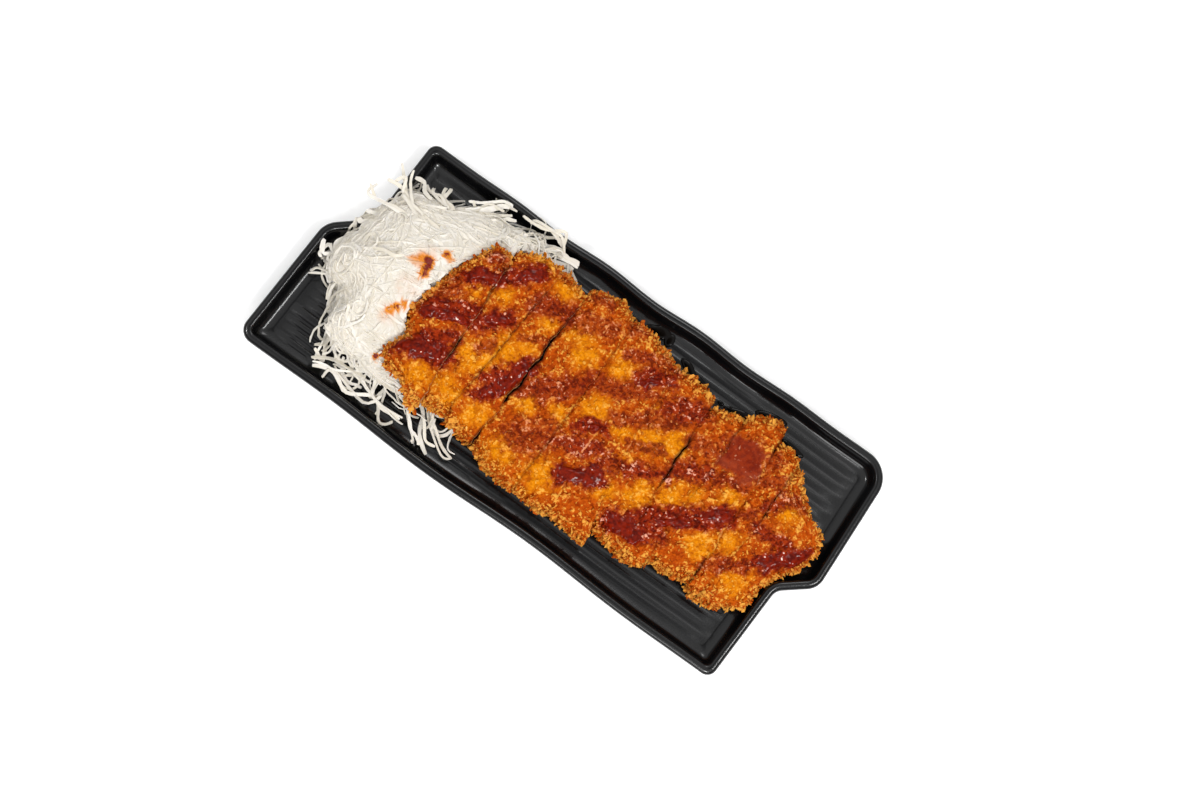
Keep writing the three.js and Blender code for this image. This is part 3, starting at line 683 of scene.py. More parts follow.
class Finish(Wiring):
    """A material with one Principled surface."""

    def __init__(self, name, constants):
        self.material = bpy.data.materials.new(name)
        self.material.use_nodes = True
        super().__init__(self.material.node_tree)
        self.surface = self.tree.nodes["Principled BSDF"]
        for socket, value in constants.items():
            self.surface.inputs[socket].default_value = value

    def set(self, socket, value):
        self.feed(self.surface.inputs[socket], value)

    def place(self):
        return self.node("ShaderNodeTexCoord", {}, {}, "Object")

    def attribute(self, name):
        return self.node("ShaderNodeAttribute", {"attribute_name": name}, {}, "Fac")

    def noise(self, size, detail=2.0, rough=0.55):
        """Noise from 0 to 1 whose lumps are about that many millimetres wide."""
        inputs = {"Vector": self.place(), "Scale": 1 / (size * MM), "Detail": detail, "Roughness": rough}
        return self.node("ShaderNodeTexNoise", {}, inputs, "Fac")

    def blend(self, share, first, second):
        """Two colours mixed: the share is of the second."""
        return self.node("ShaderNodeMix", {"data_type": "RGBA"}, {0: share, 6: first, 7: second}, 2)

    def cover(self, ground, *coats):
        """A ground colour with more colours laid over it, each by its share."""
        for share, tone in coats:
            ground = self.blend(share, ground, tone)
        return ground

    def bump(self, height, depth):
        """Relief of that many millimetres in the surface's shading."""
        inputs = {"Strength": 1.0, "Distance": depth * MM, "Height": height}
        self.set("Normal", self.node("ShaderNodeBump", {}, inputs))


def colour(red, green, blue):
    """A colour given as the eye sees it, from 0 to 255, as the shader's linear numbers."""
    shares = [channel / 255 for channel in (red, green, blue)]
    linear = [s / 12.92 if s <= 0.04045 else ((s + 0.055) / 1.055) ** 2.4 for s in shares]
    return (*linear, 1.0)


def plate_glaze():
    finish = Finish("black_satin_glaze", {"IOR": 1.45})
    cloud = finish.noise(38, 3)
    speck = finish.noise(0.9, 2)
    finish.set("Base Color", finish.blend(cloud, colour(5, 5, 6), colour(13, 13, 14)))
    groove = finish.attribute("groove")
    finish.set("Roughness", 0.14 + 0.05 * cloud + 0.03 * speck + 0.2 * groove)
    finish.bump(speck + 0.6 * finish.noise(5, 2), 0.018)
    return finish.material


def crust_finish():
    constants = {"IOR": 1.45, "Specular IOR Level": 0.02, "Coat Roughness": 0.08}
    finish = Finish("fried_crumb_and_sauce", constants)
    relief, soak, film, pool, bare, satin, crease_shade, meat = [finish.attribute(name) for name in COVERS]
    fine = finish.noise(1.0, 2, 0.6)
    tone = 0.6 * relief + 0.5 * fine
    # Painted light, partly random tone: high crumbs are painted paler as highlights, low ones darker as
    # the shade in their hollows, and speck adds small pinkish glints on the sauce film
    high = finish.ramp(tone, 0.56, 0.76)
    speck = finish.ramp(tone, 0.64, 0.76)
    low = finish.ramp(tone, 0.53, 0.35)
    mottle = finish.ramp(finish.noise(3.4, 2), 0.45, 0.65)
    streak = finish.ramp(finish.noise(2.2, 2), 0.3, 0.7)
    glint = finish.ramp(finish.noise(2.2, 1), 0.7, 0.76)
    smeared = finish.ramp(finish.noise(9, 1), 0.4, 0.6)
    golden = finish.cover(
        finish.blend(bare, colour(172, 72, 8), colour(206, 124, 7)),
        (mottle * (0.65 - 0.3 * bare), colour(152, 56, 8)),
        # painted highlights on high crumbs and painted shade in low ones
        (high * 0.65, colour(234, 176, 74)),
        (low * (0.65 - 0.2 * bare), colour(122, 40, 5)),
    )
    sodden = finish.cover(
        finish.blend(streak, colour(126, 38, 7), colour(166, 72, 15)),
        # painted shade in low crumbs and painted highlights on high ones
        (low * 0.8, colour(92, 22, 3)),
        (high * 0.65, colour(212, 126, 66)),
    )
    glaze = finish.cover(
        finish.blend(streak, colour(94, 12, 2), colour(144, 42, 8)),
        # painted shade in low crumbs and painted pinkish glints on high ones
        (low * 0.8, colour(58, 5, 1)),
        (speck * 0.85, colour(226, 162, 138)),
    )
    thick = finish.cover(
        finish.blend(streak, colour(76, 7, 0), colour(122, 24, 1)),
        (glint * 0.9, colour(238, 214, 200)),
    )
    shown = finish.cover(
        golden,
        (finish.ramp(soak, 0.05, 0.9) * 0.9, sodden),
        (finish.ramp(film, 0.25, 0.9), glaze),
        # painted shade in the crust beside the cuts, darkest where a cut stands open
        (crease_shade * 0.85, colour(64, 18, 3)),
        (finish.ramp(pool, 0.05, 0.95), thick),
        # the smooth square's paler pinkish brown, a painted sheen laid over half its colour
        (satin * 0.5, finish.blend(smeared, colour(112, 36, 18), colour(138, 60, 36))),
        (meat, finish.blend(fine, colour(168, 112, 66), colour(196, 148, 102))),
    )
    finish.set("Base Color", shown)
    wet = finish.ramp(soak, 0.3, 1.0)
    finish.set("Roughness", 0.6 - 0.2 * wet - 0.2 * pool)
    finish.set("Coat Weight", 0.02 * high + 0.05 * wet + 0.14 * pool)
    finish.bump(finish.noise(0.9, 3, 0.6) * (1 - 0.8 * pool), 0.28)
    return finish.material


def cabbage_finish():
    constants = {"IOR": 1.4, "Subsurface Weight": 0.15, "Subsurface Scale": 0.6}
    finish = Finish("shredded_cabbage", {**constants, "Subsurface Radius": (0.003, 0.003, 0.002)})
    tint = finish.attribute("tint")
    stain = finish.attribute("stain")
    vein = finish.noise(3, 2)
    leaf = finish.cover(
        finish.blend(tint, colour(225, 220, 210), colour(215, 207, 191)),
        (finish.ramp(vein, 0.5, 0.8) * 0.4, colour(228, 223, 214)),
        (finish.ramp(stain, 0.0, 0.5), colour(212, 126, 18)),
        (finish.ramp(stain, 0.55, 0.8), colour(118, 24, 5)),
    )
    finish.set("Base Color", leaf)
    finish.set("Roughness", 0.38 + 0.2 * vein)
    finish.bump(finish.noise(0.8, 2), 0.08)
    return finish.material


def oil_finish():
    finish = Finish("oil_on_glaze", {"IOR": 1.22})
    cloud = finish.noise(2, 2)
    finish.set("Base Color", finish.blend(cloud, colour(6, 5, 4), colour(14, 9, 6)))
    finish.set("Roughness", 0.04 + 0.05 * cloud)
    return finish.material


def table_finish():
    finish = Finish("pale_table", {"Roughness": 0.8, "Emission Strength": 0.16})
    cloud = finish.noise(60, 2)
    finish.set("Base Color", finish.blend(cloud, colour(251, 251, 251), colour(254, 254, 254)))
    return finish.material


# Plate

def side_of(i, inset):
    a = np.array(CORNERS[i][:2], float)
    b = np.array(CORNERS[(i + 1) % len(CORNERS)][:2], float)
    along = (b - a) / np.linalg.norm(b - a)
    inward = np.array([-along[1], along[0]])
    return a + inward * inset, along, inward


def cross(a, b):
    return a[0] * b[1] - a[1] * b[0]


def corner_arc(i, inset):
    """One rounded corner of the outline moved inward, as points on its arc."""
    start_before, along_before, inward_before = side_of((i - 1) % len(CORNERS), inset)
    start_after, along_after, _ = side_of(i, inset)
    turn = cross(along_before, along_after)
    tip = start_before + along_before * (cross(start_after - start_before, along_after) / turn)
    bend = math.atan2(turn, along_before @ along_after)
    way = math.copysign(1, turn)
    radius = max(CORNERS[i][2] - inset * way, SMALLEST_CORNER)
    centre = tip - along_before * radius * math.tan(abs(bend) / 2) + inward_before * radius * way
    spoke = -inward_before * radius * way
    angles = bend * np.arange(CORNER_STEPS + 1) / CORNER_STEPS
    x = spoke[0] * np.cos(angles) - spoke[1] * np.sin(angles)
    y = spoke[0] * np.sin(angles) + spoke[1] * np.cos(angles)
    return centre + np.stack([x, y], axis=1)


def plate_outline(inset):
    outline = []
    for i, corner in enumerate(CORNERS):
        arc = corner_arc(i, inset)
        following = corner_arc((i + 1) % len(CORNERS), inset)[0]
        share = np.arange(1, corner[3]) / corner[3]
        side = arc[-1] + (following - arc[-1]) * share[:, None]
        if i in WAVES:
            depth, turns = WAVES[i]
            swing = np.sin(math.tau * turns * share) * np.sin(math.pi * share)
            side += side_of(i, inset)[2] * (depth * swing)[:, None]
        outline += [arc, side]
    return np.concatenate(outline)


def smooth_curve(points, steps):
    """Points on a curve through all the given ones, in so many steps from each to the next."""
    points = np.array(points, float)
    padded = np.concatenate([points[:1], points, points[-1:]])
    curve = [points[0]]
    for k in range(len(points) - 1):
        p0, p1, p2, p3 = padded[k : k + 4]
        for step in range(1, steps + 1):
            t = step / steps
            bend = (2 * p0 - 5 * p1 + 4 * p2 - p3) * t**2 + (3 * p1 - p0 - 3 * p2 + p3) * t**3
            curve.append(0.5 * (2 * p1 + (p2 - p0) * t + bend))
    return np.array(curve)


def ribs_at(x, y):
    """Height of the carved ribs above the plate's floor, and the share of a groove between two ribs."""
    wander = rough(flat_points(x / RIB_STRETCH, y), RIB_DRIFT)
    patches = rough(flat_points(x / RIB_PATCH_STRETCH, y), RIB_PATCHES)
    depth = mix(RIB_FAINTEST, 1, smooth_step(-0.4, 0.3, patches))
    height, carved = np.zeros_like(x), np.zeros_like(x)
    for i in range(RIB_COUNT):
        middle = (i - (RIB_COUNT - 1) / 2) * RIB_PITCH
        chance = hashed(np.array([[i, 0, 0]]), RIB_SEED)[0]
        left = (RIB_UPPER_LEFT if middle > 0 else RIB_LEFT) + RIB_FADE * chance[0]
        right = (RIB_RIGHT if middle > RIB_LOWER_Y else RIB_LOWER_RIGHT) - RIB_FADE * chance[1]
        run = smooth_step(left, left + RIB_FADE, x) * smooth_step(right, right - RIB_FADE, x)
        half = RIB_HALF_WIDTH * mix(0.8, 1, smooth_step(*RIBS_WIDEN, middle)) * mix(0.93, 1, chance[2])
        away = np.abs(y + wander - middle)
        near = np.clip(away / half, 0, 1)
        height = np.maximum(height, mix(RIB_LEAST, 1, chance[2]) * run * (1 - near**RIB_ROUND))
        carved = np.maximum(carved, run * smooth_step(0.7, 0.6, away / RIB_PITCH))
    dull = mix(RIB_FAINTEST, 1, smooth_step(*GROOVES_DULL, y))
    return RIB_HEIGHT * depth * height, dull * carved * smooth_step(0.75, 0.15, height)


def plate_piece(material):
    """A circle on the foot's outline, drawn up in rings over the rim and filled with the ribbed floor."""
    section = np.maximum(smooth_curve(SECTION, SECTION_STEPS), 0)
    count = len(plate_outline(0))
    piece = flat_circle("serving_plate", count, RIM_Z)
    draw_rim(len(section) - 1, MM)
    shape = bmesh.from_edit_mesh(piece.data)
    shape.verts.ensure_lookup_table()
    for k, (inset, z) in enumerate(section):
        for n, (x, y) in enumerate(plate_outline(inset)):
            shape.verts[k * count + n].co = Vector((x, y, z)) * MM
    shape.select_history.clear()
    shape.select_history.add(shape.verts[(len(section) - 1) * count + CORNER_STEPS // 2])
    bmesh.update_edit_mesh(piece.data)
    short_end = sum(corner[3] + CORNER_STEPS for corner in CORNERS[:3])
    bpy.ops.mesh.fill_grid(span=short_end, offset=0)
    face_outward()
    points = read_points(piece)
    inner = points[CREST * SECTION_STEPS * count :]
    ribs, groove = ribs_at(inner[:, 0], inner[:, 1])
    inner[:, 2] = np.maximum(inner[:, 2], FLOOR_Z + ribs)
    write_points(piece, points)
    write_attribute(piece, "groove", np.concatenate([np.zeros(len(points) - len(inner)), groove]))
    smooth_below(PLATE_SMOOTH)
    finish_piece(piece, material, "plate", "plate")


def inside_distance(x, y):
    """How far places lie inside the plate's outline; negative outside."""
    outline = plate_outline(0)
    nearest = np.full(len(x), np.inf)
    inside = np.zeros(len(x), bool)
    for a, b in zip(outline, np.roll(outline, -1, axis=0)):
        nearest = np.minimum(nearest, stroke_distance(x, y, (*a, *b)))
        if a[1] != b[1]:
            crossing = a[0] + (y - a[1]) / (b[1] - a[1]) * (b[0] - a[0])
            inside ^= ((a[1] > y) != (b[1] > y)) & (x < crossing)
    return np.where(inside, nearest, -nearest)


def plate_top(x, y):
    """Upper surface of the plate, with the floor taken at the top of its ribs."""
    inset = inside_distance(x, y)
    wall = np.maximum(along_pairs(SECTION[CREST:], inset), FLOOR_Z + RIB_HEIGHT)
    return np.where(inset < -1, 0, wall)


# Cutlet

def cut_at(i, y):
    far, near, bow, _ = CUTS[i]
    share = y / CUT_REACH
    wobble = CUT_WOBBLE * line_noise(y, i, *WOBBLE_NOISE)
    wobble = wobble + FINE_WOBBLE * line_noise(y, i, *FINE_WOBBLE_NOISE)
    return mix(near, far, (share + 1) / 2) + bow * (1 - share * share) + wobble


def stand_back(i, y):
    """How far a slice's border lies from the middle of its cut."""
    return CUT_LEAST + CUTS[i][3] * smooth_step(0, 0.6, line_noise(y, i, *GAP_NOISE))


def crease_shade_at(i, y, away):
    """Painted shade on a slice's crust at a distance from its cut: darkest where the cut stands open."""
    along = mix(0.3, 1, smooth_step(-0.3, 0.4, line_noise(y, i, *GAP_NOISE)))
    return min(CUTS[i][3] / CREASE_SHADE_GAP, 1) * along * smooth_step(CREASE_SHADE_REACH, 0.1, away)


def borders(i, y):
    """Left and right border of a slice at a distance along it."""
    left = along_pairs(LEFT_EDGE, y) if i == 0 else cut_at(i - 1, y) + stand_back(i - 1, y)
    right = along_pairs(RIGHT_EDGE, y) if i == len(CUTS) else cut_at(i, y) - stand_back(i, y)
    return left, right


def end_at(end, across, side):
    left, right, bulge = end
    return mix(left, right, across) + side * bulge * 4 * across * (1 - across)


def draped_line(length, wrap_low, wrap_high):
    """A line of points draped over a slice: share of its length, shift in mm, share of the full height.

    At a wrapped end it goes over a rounded shoulder and down a steep wall to the underside.
    """
    turn = np.linspace(0, math.pi / 2, ROUND_ROWS + 1)[:-1]
    wall = np.linspace(0.04, 1, WALL_ROWS, endpoint=False)
    inward = np.concatenate([WALL_LEAN * (wall - 1), EDGE_ROUND * (1 - np.cos(turn))])
    rise = np.concatenate([EDGE_SHARE * wall, mix(EDGE_SHARE, 1, np.sin(turn))])
    low_pad = EDGE_ROUND if wrap_low else 0
    high_pad = EDGE_ROUND if wrap_high else 0
    middle = np.linspace(0, 1, max(int((length - low_pad - high_pad) / GRAIN), 4) + 1)
    parts = [(middle, low_pad * (1 - middle) - high_pad * middle, np.ones(len(middle)))]
    if wrap_low:
        parts.insert(0, (np.zeros(len(inward)), inward, rise))
    if wrap_high:
        parts.append((np.ones(len(inward)), -inward[::-1], rise[::-1]))
    return [np.concatenate(columns) for columns in zip(*parts)]


def slice_blanket(i):
    """Points over a slice's crust: x, y, height over its bed, each column's bed, share of full height."""
    spec = SLICES[i]
    left, right = borders(i, np.linspace(-CUT_REACH, CUT_REACH, BORDER_SAMPLES))
    across, shift, side_rise = draped_line(np.max(right - left), i == 0, i == len(CUTS))
    far = end_at(spec["far"], across, 1)
    near = end_at(spec["near"], across, -1)
    along, step, end_rise = draped_line(np.max(far - near), True, True)
    y = near + (far - near) * along[:, None] + step[:, None]
    left, right = borders(i, y)
    tight = np.clip((right - left) / (EDGE_ROUND * 1.5), 0.1, 1)
    x = left + (right - left) * across + shift * tight
    thickness = mix(*spec["thick"], across)
    rise = np.minimum(end_rise[:, None], side_rise)
    height = rise * thickness
    if i > 0:
        sag = CUT_SAG * smooth_step(-0.3, 0.5, line_noise(y, i, *SAG_NOISE))
        height = height - sag * smooth_step(CUT_SAG_REACH, 0, x - left) * end_rise[:, None]
    bed = BED_Z + mix(*spec["lift"], across)
    return x, y, height, bed, rise


def sauce_at(x, y):
    """How far sauce soaks in, lies as a film, stands in pools and domes up in them, each from 0 to 1."""
    flat = flat_points(x, y)
    x = x + rough(flat, SAUCE_DRIFT_X)
    y = y + rough(flat, SAUCE_DRIFT_Y)
    patchy = rough(flat, SAUCE_PATCHES)
    soak = np.zeros(len(x))
    film = np.zeros(len(x))
    for *stroke, width, body in DRIZZLE:
        share = stroke_distance(x, y, stroke) / (width / 2) + patchy
        soak = np.maximum(soak, min(1, body + 0.3) * smooth_step(*SOAK_EDGE, share))
        film = np.maximum(film, body * smooth_step(*FILM_EDGE, share))
    deep = np.full(len(x), np.inf)
    for *stroke, radius in POOLS:
        deep = np.minimum(deep, stroke_distance(x, y, stroke) / radius)
    pool = smooth_step(*POOL_EDGE, deep + 0.5 * patchy)
    return soak, np.maximum(film, pool), pool, np.clip(1 - deep * deep, 0, 1)


def satin_at(x, y):
    """Where the square of smooth sauce lies, from 0 to 1."""
    away = np.maximum(np.abs(x - SATIN[0]), np.abs(y - SATIN[1])) / SATIN[2]
    return smooth_step(*SATIN_EDGE, away + rough(flat_points(x, y), SATIN_RAGGED))


def bare_at(x, y):
    """How golden the crust is between the sauce, from 0 to 1."""
    ragged = rough(flat_points(x, y), BARE_RAGGED)
    bare = np.zeros(len(x))
    for px, py, radius in BARE:
        bare = np.maximum(bare, smooth_step(*BARE_EDGE, np.hypot(x - px, y - py) / radius + ragged))
    return bare


def crumb_relief(points, calm):
    """Height of the fried crumb in millimetres, and the same from 0 to 1."""
    broad, broad_edge = flake_field(points, *BROAD_FLAKES)
    small, small_edge = flake_field(points, *SMALL_FLAKES)
    raw = 0.5 * broad + 0.45 * small + rough(points, FINE_CRUMB) - 0.1 * broad_edge - 0.12 * small_edge
    return CRUMB_DEPTH * raw * (1 - 0.3 * calm), np.clip(0.5 + 0.5 * raw, 0, 1)


def unit(vectors):
    return vectors / np.maximum(np.linalg.norm(vectors, axis=-1, keepdims=True), 1e-9)


def crust_points(i):
    """Points of a slice's crust with its crumb and sauce, in rows and columns, and what covers each."""
    x, y, height, bed, rise = slice_blanket(i)
    rows, columns = x.shape
    base = np.stack([x, y, height + bed], axis=2)
    normal = unit(np.cross(np.gradient(base, axis=1), np.gradient(base, axis=0))).reshape(-1, 3)
    place = np.stack([x, y, height], axis=2).reshape(-1, 3)
    flat = place[:, 0], place[:, 1]
    soak, film, pool, dome = sauce_at(*flat)
    on_top = smooth_step(*TOP_FROM, rise.ravel())
    satin = satin_at(*flat)
    bare = bare_at(*flat) * mix(END_BARE, 1, on_top)
    soak = np.maximum(soak, satin) * mix(END_SOAK, 1, on_top)
    film = np.maximum(film, 0.8 * satin) * mix(END_FILM, 1, on_top)
    pool = pool * on_top
    calm = on_top * np.maximum(bare, satin)
    crumb, relief = crumb_relief(place, calm)
    crumb = crumb * mix(END_CRAG, 1, on_top) * (1 - 0.35 * film)
    crumb = mix(crumb, POOL_LUMPS * rough(place, POOL_SWELL), pool)
    crumb = crumb * (1 - 0.6 * satin) + SAUCE_RELIEF * film + POOL_RELIEF * dome * on_top
    relief = mix(relief, 0.55, np.maximum(0.2 * calm * (1 - film), 0.8 * satin))
    points = base.reshape(-1, 3) + normal * crumb[:, None]
    # Ragged cut edges, and the painted shade beside the cuts
    edge, crease_shade = np.zeros((rows, columns)), np.zeros((rows, columns))
    if i > 0:
        edge[:, 0] = line_noise(y[:, 0], i, *LEFT_EDGE_NOISE)
        crease_shade = crease_shade_at(i - 1, y, x - x[:, :1])
    if i < len(CUTS):
        edge[:, -1] = line_noise(y[:, -1], i, *RIGHT_EDGE_NOISE)
        crease_shade = np.maximum(crease_shade, crease_shade_at(i, y, x[:, -1:] - x))
    if FIRST_LIP <= i < len(CUTS):
        # A band along the right border, the side facing the main light, painted paler as a highlight, with
        # its sauce film thinned
        lip = smooth_step(LIP, 0, x[:, -1:] - x) * smooth_step(0.1, 0.7, line_noise(y, i, *LIP_NOISE))
        relief = np.clip(relief + LIP_HIGHLIGHT * lip.ravel(), 0, 1)
        film = film * (1 - LIP_DRY * lip.ravel())
    points[:, 0] += CUT_RAGGED * edge.ravel()
    meat = np.zeros(len(points))
    cover = dict(zip(COVERS, (relief, soak, film, pool, bare, satin, crease_shade.ravel(), meat)))
    return points.reshape(rows, columns, 3), normal, cover, bed


def slice_piece(i, material):
    """A grid draped over the slice as its crust, its rim drawn down the cut faces and closed below."""
    points, normal, cover, bed = crust_points(i)
    rows, columns, _ = points.shape
    deselect_all()
    bpy.ops.mesh.primitive_grid_add(x_subdivisions=columns - 1, y_subdivisions=rows - 1, size=MM)
    piece = bpy.context.object
    piece.name = f"cutlet_slice_{i + 1}"
    draw_rim(len(CUT_LOOPS))
    close_rim()
    rim = np.ones((rows, columns), bool)
    rim[1:-1, 1:-1] = False
    upper = points[rim]
    under = np.broadcast_to(bed, (rows, columns))[rim]
    loops = [points.reshape(-1, 3)]
    for share, _ in CUT_LOOPS:
        loop = upper.copy()
        loop[:, 2] = under + (upper[:, 2] - under) * share
        loops.append(loop)
    write_points(piece, np.concatenate(loops))
    for name, values in cover.items():
        faded = values.reshape(rows, columns)[rim] * CUT_FACE_COVER
        lower = [np.full(len(upper), bare) if name == "meat" else faded for _, bare in CUT_LOOPS]
        write_attribute(piece, name, np.concatenate([values, *lower]))
    face_outward()
    smooth_below(CRUST_SMOOTH)
    finish_piece(piece, material, "crust", f"slice_{i + 1}")
    return points.reshape(-1, 3), normal, cover


def lump():
    """One rounded crumb with twelve corners, modelled once: its corners and faces."""
    deselect_all()
    bpy.ops.mesh.primitive_ico_sphere_add(subdivisions=1, radius=MM)
    model = bpy.context.object
    corners = read_points(model)
    faces = np.array([face.vertices[:] for face in model.data.polygons])
    bpy.data.objects.remove(model)
    return corners, faces


def flake_mesh(name, centres, long_way, broad_way, sizes, random):
    """Many crumbs as one mesh: each a jagged flake with its own direction and size."""
    corners, faces = lump()
    count = len(centres)
    long_way = unit(long_way)
    thin_way = unit(np.cross(long_way, broad_way))
    broad_way = np.cross(thin_way, long_way)
    jag = random.uniform(*FLAKE_JAG, (count, len(corners), 1)) * corners
    axes = np.stack([long_way, broad_way, thin_way], axis=1) * sizes[:, :, None]
    points = centres[:, None, :] + np.einsum("nck,nkd->ncd", jag, axes)
    every = faces[None] + np.arange(count)[:, None, None] * len(corners)
    piece = new_mesh_object(name, points.reshape(-1, 3), every.reshape(-1, 3))
    piece.data.polygons.foreach_set("use_smooth", np.zeros(len(piece.data.polygons), bool))
    return piece, len(corners)


def crust_flakes(crusts, material):
    """Crumb flakes that stand out of the crust, thickest at the slices' ends."""
    random = np.random.default_rng(FLAKE_SEED)
    points = np.concatenate([crust[0] for crust in crusts])
    normal = np.concatenate([crust[1] for crust in crusts])
    cover = {name: np.concatenate([crust[2][name] for crust in crusts]) for name in crusts[0][2]}
    steep = smooth_step(*STEEP_FROM, normal[:, 2])
    weight = FLAKES_ON_TOP + FLAKES_ON_ENDS * steep
    for name, share in FLAKES_KEPT_OFF.items():
        weight *= 1 - share * cover[name]
    weight[points[:, 2] < BED_Z + FLAKE_LEAST_Z] = 0
    chosen = random.choice(len(points), FLAKE_COUNT, replace=False, p=weight / weight.sum())
    spin = unit(np.cross(normal[chosen], random.normal(size=(FLAKE_COUNT, 3))))
    lean = np.radians(random.uniform(0, FLAKE_LEAN, FLAKE_COUNT) * mix(0.4, 1, steep[chosen]))[:, None]
    long_way = spin * np.cos(lean) + normal[chosen] * np.sin(lean)
    length = random.gamma(4, 0.26, FLAKE_COUNT).clip(*FLAKE_LENGTHS) * mix(0.6, 1, steep[chosen])
    breadth = length * random.uniform(*FLAKE_BREADTH, FLAKE_COUNT)
    sizes = np.stack([length, breadth, length * FLAKE_THICKNESS], axis=1)
    centres = points[chosen] + normal[chosen] * (0.1 + 0.35 * length * np.sin(lean[:, 0]))[:, None]
    broad_way = np.cross(long_way, random.normal(size=(FLAKE_COUNT, 3)))
    piece, corners = flake_mesh("crumb_flakes", centres, long_way, broad_way, sizes, random)
    shade = np.repeat(random.uniform(*FLAKE_SHADE, FLAKE_COUNT), corners)
    write_attribute(piece, "relief", shade)
    for name in COVERS[1:]:
        write_attribute(piece, name, np.repeat(cover[name][chosen] * FLAKE_COVER, corners))
    finish_piece(piece, material, "crust")


# Cabbage

def slice_under(x, y, margin):
    """Underside of the slice above each place, or infinity where none lies over it."""
    under = np.full(len(x), np.inf)
    for i, spec in enumerate(SLICES):
        left, right = borders(i, y)
        across = np.clip((x - left) / (right - left), 0, 1)
        far = end_at(spec["far"], across, 1) + margin
        near = end_at(spec["near"], across, -1) - margin
        over = (x > left - margin) & (x < right + margin) & (y < far) & (y > near)
        under = np.where(over, np.minimum(under, BED_Z + mix(*spec["lift"], across)), under)
    return under


def from_summit(x, y):
    """Direction and distance of places from the heap's summit."""
    across, away = x - HEAP["x"], y - HEAP["y"]
    return np.arctan2(away, across), np.hypot(across, away)


def heap_place(angle, reach):
    """Places in a direction and at a distance from the heap's summit."""
    return HEAP["x"] + reach * np.cos(angle), HEAP["y"] + reach * np.sin(angle)


def heap_spread(angle):
    """Distance from the summit at which the heap would meet the floor in a direction."""
    return np.interp(angle, *from_summit(*np.array(HEAP_OUTLINE, float).T), period=math.tau)


def heap_reach(angle):
    """The same distance, held clear of the plate's wall."""
    reach = heap_spread(angle)
    for _ in range(WALL_TRIES):
        clear = inside_distance(*heap_place(angle, reach))
        reach = np.where(clear < HEAP_WALL_CLEAR, reach - WALL_STEP, reach)
    return reach


def heap_top(x, y, margin):
    """Height of the heap, which is pressed down where slices lie on it and falls away past its foot."""
    angle, away = from_summit(x, y)
    spread = heap_spread(angle)
    dome = mix(HEAP_FOOT, HEAP["top"], (1 - np.minimum(1, away / spread) ** 2) ** HEAP_FULLNESS)
    covered = slice_under(x, y, margin) < np.inf
    dome = np.where(covered, np.minimum(dome, along_pairs(HEAP_BED, x) - 1), dome)
    return dome - 0.7 * np.maximum(0, away - spread)


def cabbage_core(material):
    """A ball pressed into the heap's form, which closes the view between the shreds."""
    deselect_all()
    bpy.ops.mesh.primitive_uv_sphere_add(segments=96, ring_count=48, radius=MM)
    piece = bpy.context.object
    piece.name = "cabbage_core"
    ball = read_points(piece)
    angle = np.arctan2(ball[:, 1], ball[:, 0])
    x, y = heap_place(angle, heap_reach(angle) * np.hypot(ball[:, 0], ball[:, 1]) * CORE_REACH)
    uneven = rough(flat_points(x, y), CORE_UNEVEN)
    top = np.maximum(heap_top(x, y, CORE_MARGIN) - CORE_SINK + uneven, BED_Z + 0.2)
    write_points(piece, np.stack([x, y, np.where(ball[:, 2] >= -1e-6, top, BED_Z)], axis=1))
    write_attribute(piece, "tint", np.full(len(x), CORE_TINT))
    write_attribute(piece, "stain", stain_at(x, y))
    piece.data.shade_smooth()
    finish_piece(piece, material, "cabbage", "cabbage")


def stain_at(x, y):
    """How far sauce and oil colour the cabbage, from 0 to 1."""
    stain = np.zeros(len(x))
    for sx, sy, radius, strength in CABBAGE_STAINS:
        stain = np.maximum(stain, strength * smooth_step(*STAIN_EDGE, np.hypot(x - sx, y - sy) / radius))
    return np.clip(stain * (0.95 + rough(flat_points(x, y), STAIN_PATCHES)), 0, 1)


def open_places(count, spread, random):
    """Places on the heap that no slice covers, out to that share of its foot."""
    angle = random.uniform(0, math.tau, count * 4)
    x, y = heap_place(angle, heap_spread(angle) * spread * np.sqrt(random.uniform(0, 1, count * 4)))
    free = slice_under(x, y, 0.5) == np.inf
    return x[free][:count], y[free][:count]


def held_in(x, y, limit):
    """Places past that share of the heap's foot drawn back to it."""
    angle, away = from_summit(x, y)
    share = np.minimum(1, heap_spread(angle) * limit / np.maximum(away, 1e-6))
    return HEAP["x"] + (x - HEAP["x"]) * share, HEAP["y"] + (y - HEAP["y"]) * share


def settle(x, y, z):
    """Heights of shred points kept above the plate."""
    return np.maximum(z, plate_top(x.ravel(), y.ravel()).reshape(x.shape) + SHRED_MARGIN)


def longest_run(stop):
    """First and last place of the longest stretch without a stop."""
    turns = np.flatnonzero(np.diff(np.concatenate([[1], stop.astype(int), [1]])))
    starts, ends = turns[::2], turns[1::2]
    if len(starts) == 0:
        return 0, 0
    best = np.argmax(ends - starts)
    return starts[best], ends[best] - 1


def cut_short(paths):
    """Shreds that would run into a slice, laid out again over their longest stretch clear of it."""
    count, steps, _ = paths.shape
    x, y, z = paths.reshape(-1, 3).T
    stop = (z + SHRED_MARGIN > slice_under(x, y, SHRED_MARGIN)).reshape(count, steps)
    kept = []
    for path, stops in zip(paths, stop):
        first, last = longest_run(stops)
        if last - first >= LEAST_RUN:
            places = np.linspace(first, last, steps)
            kept.append(np.stack([np.interp(places, np.arange(steps), axis) for axis in path.T], axis=1))
    return np.array(kept)


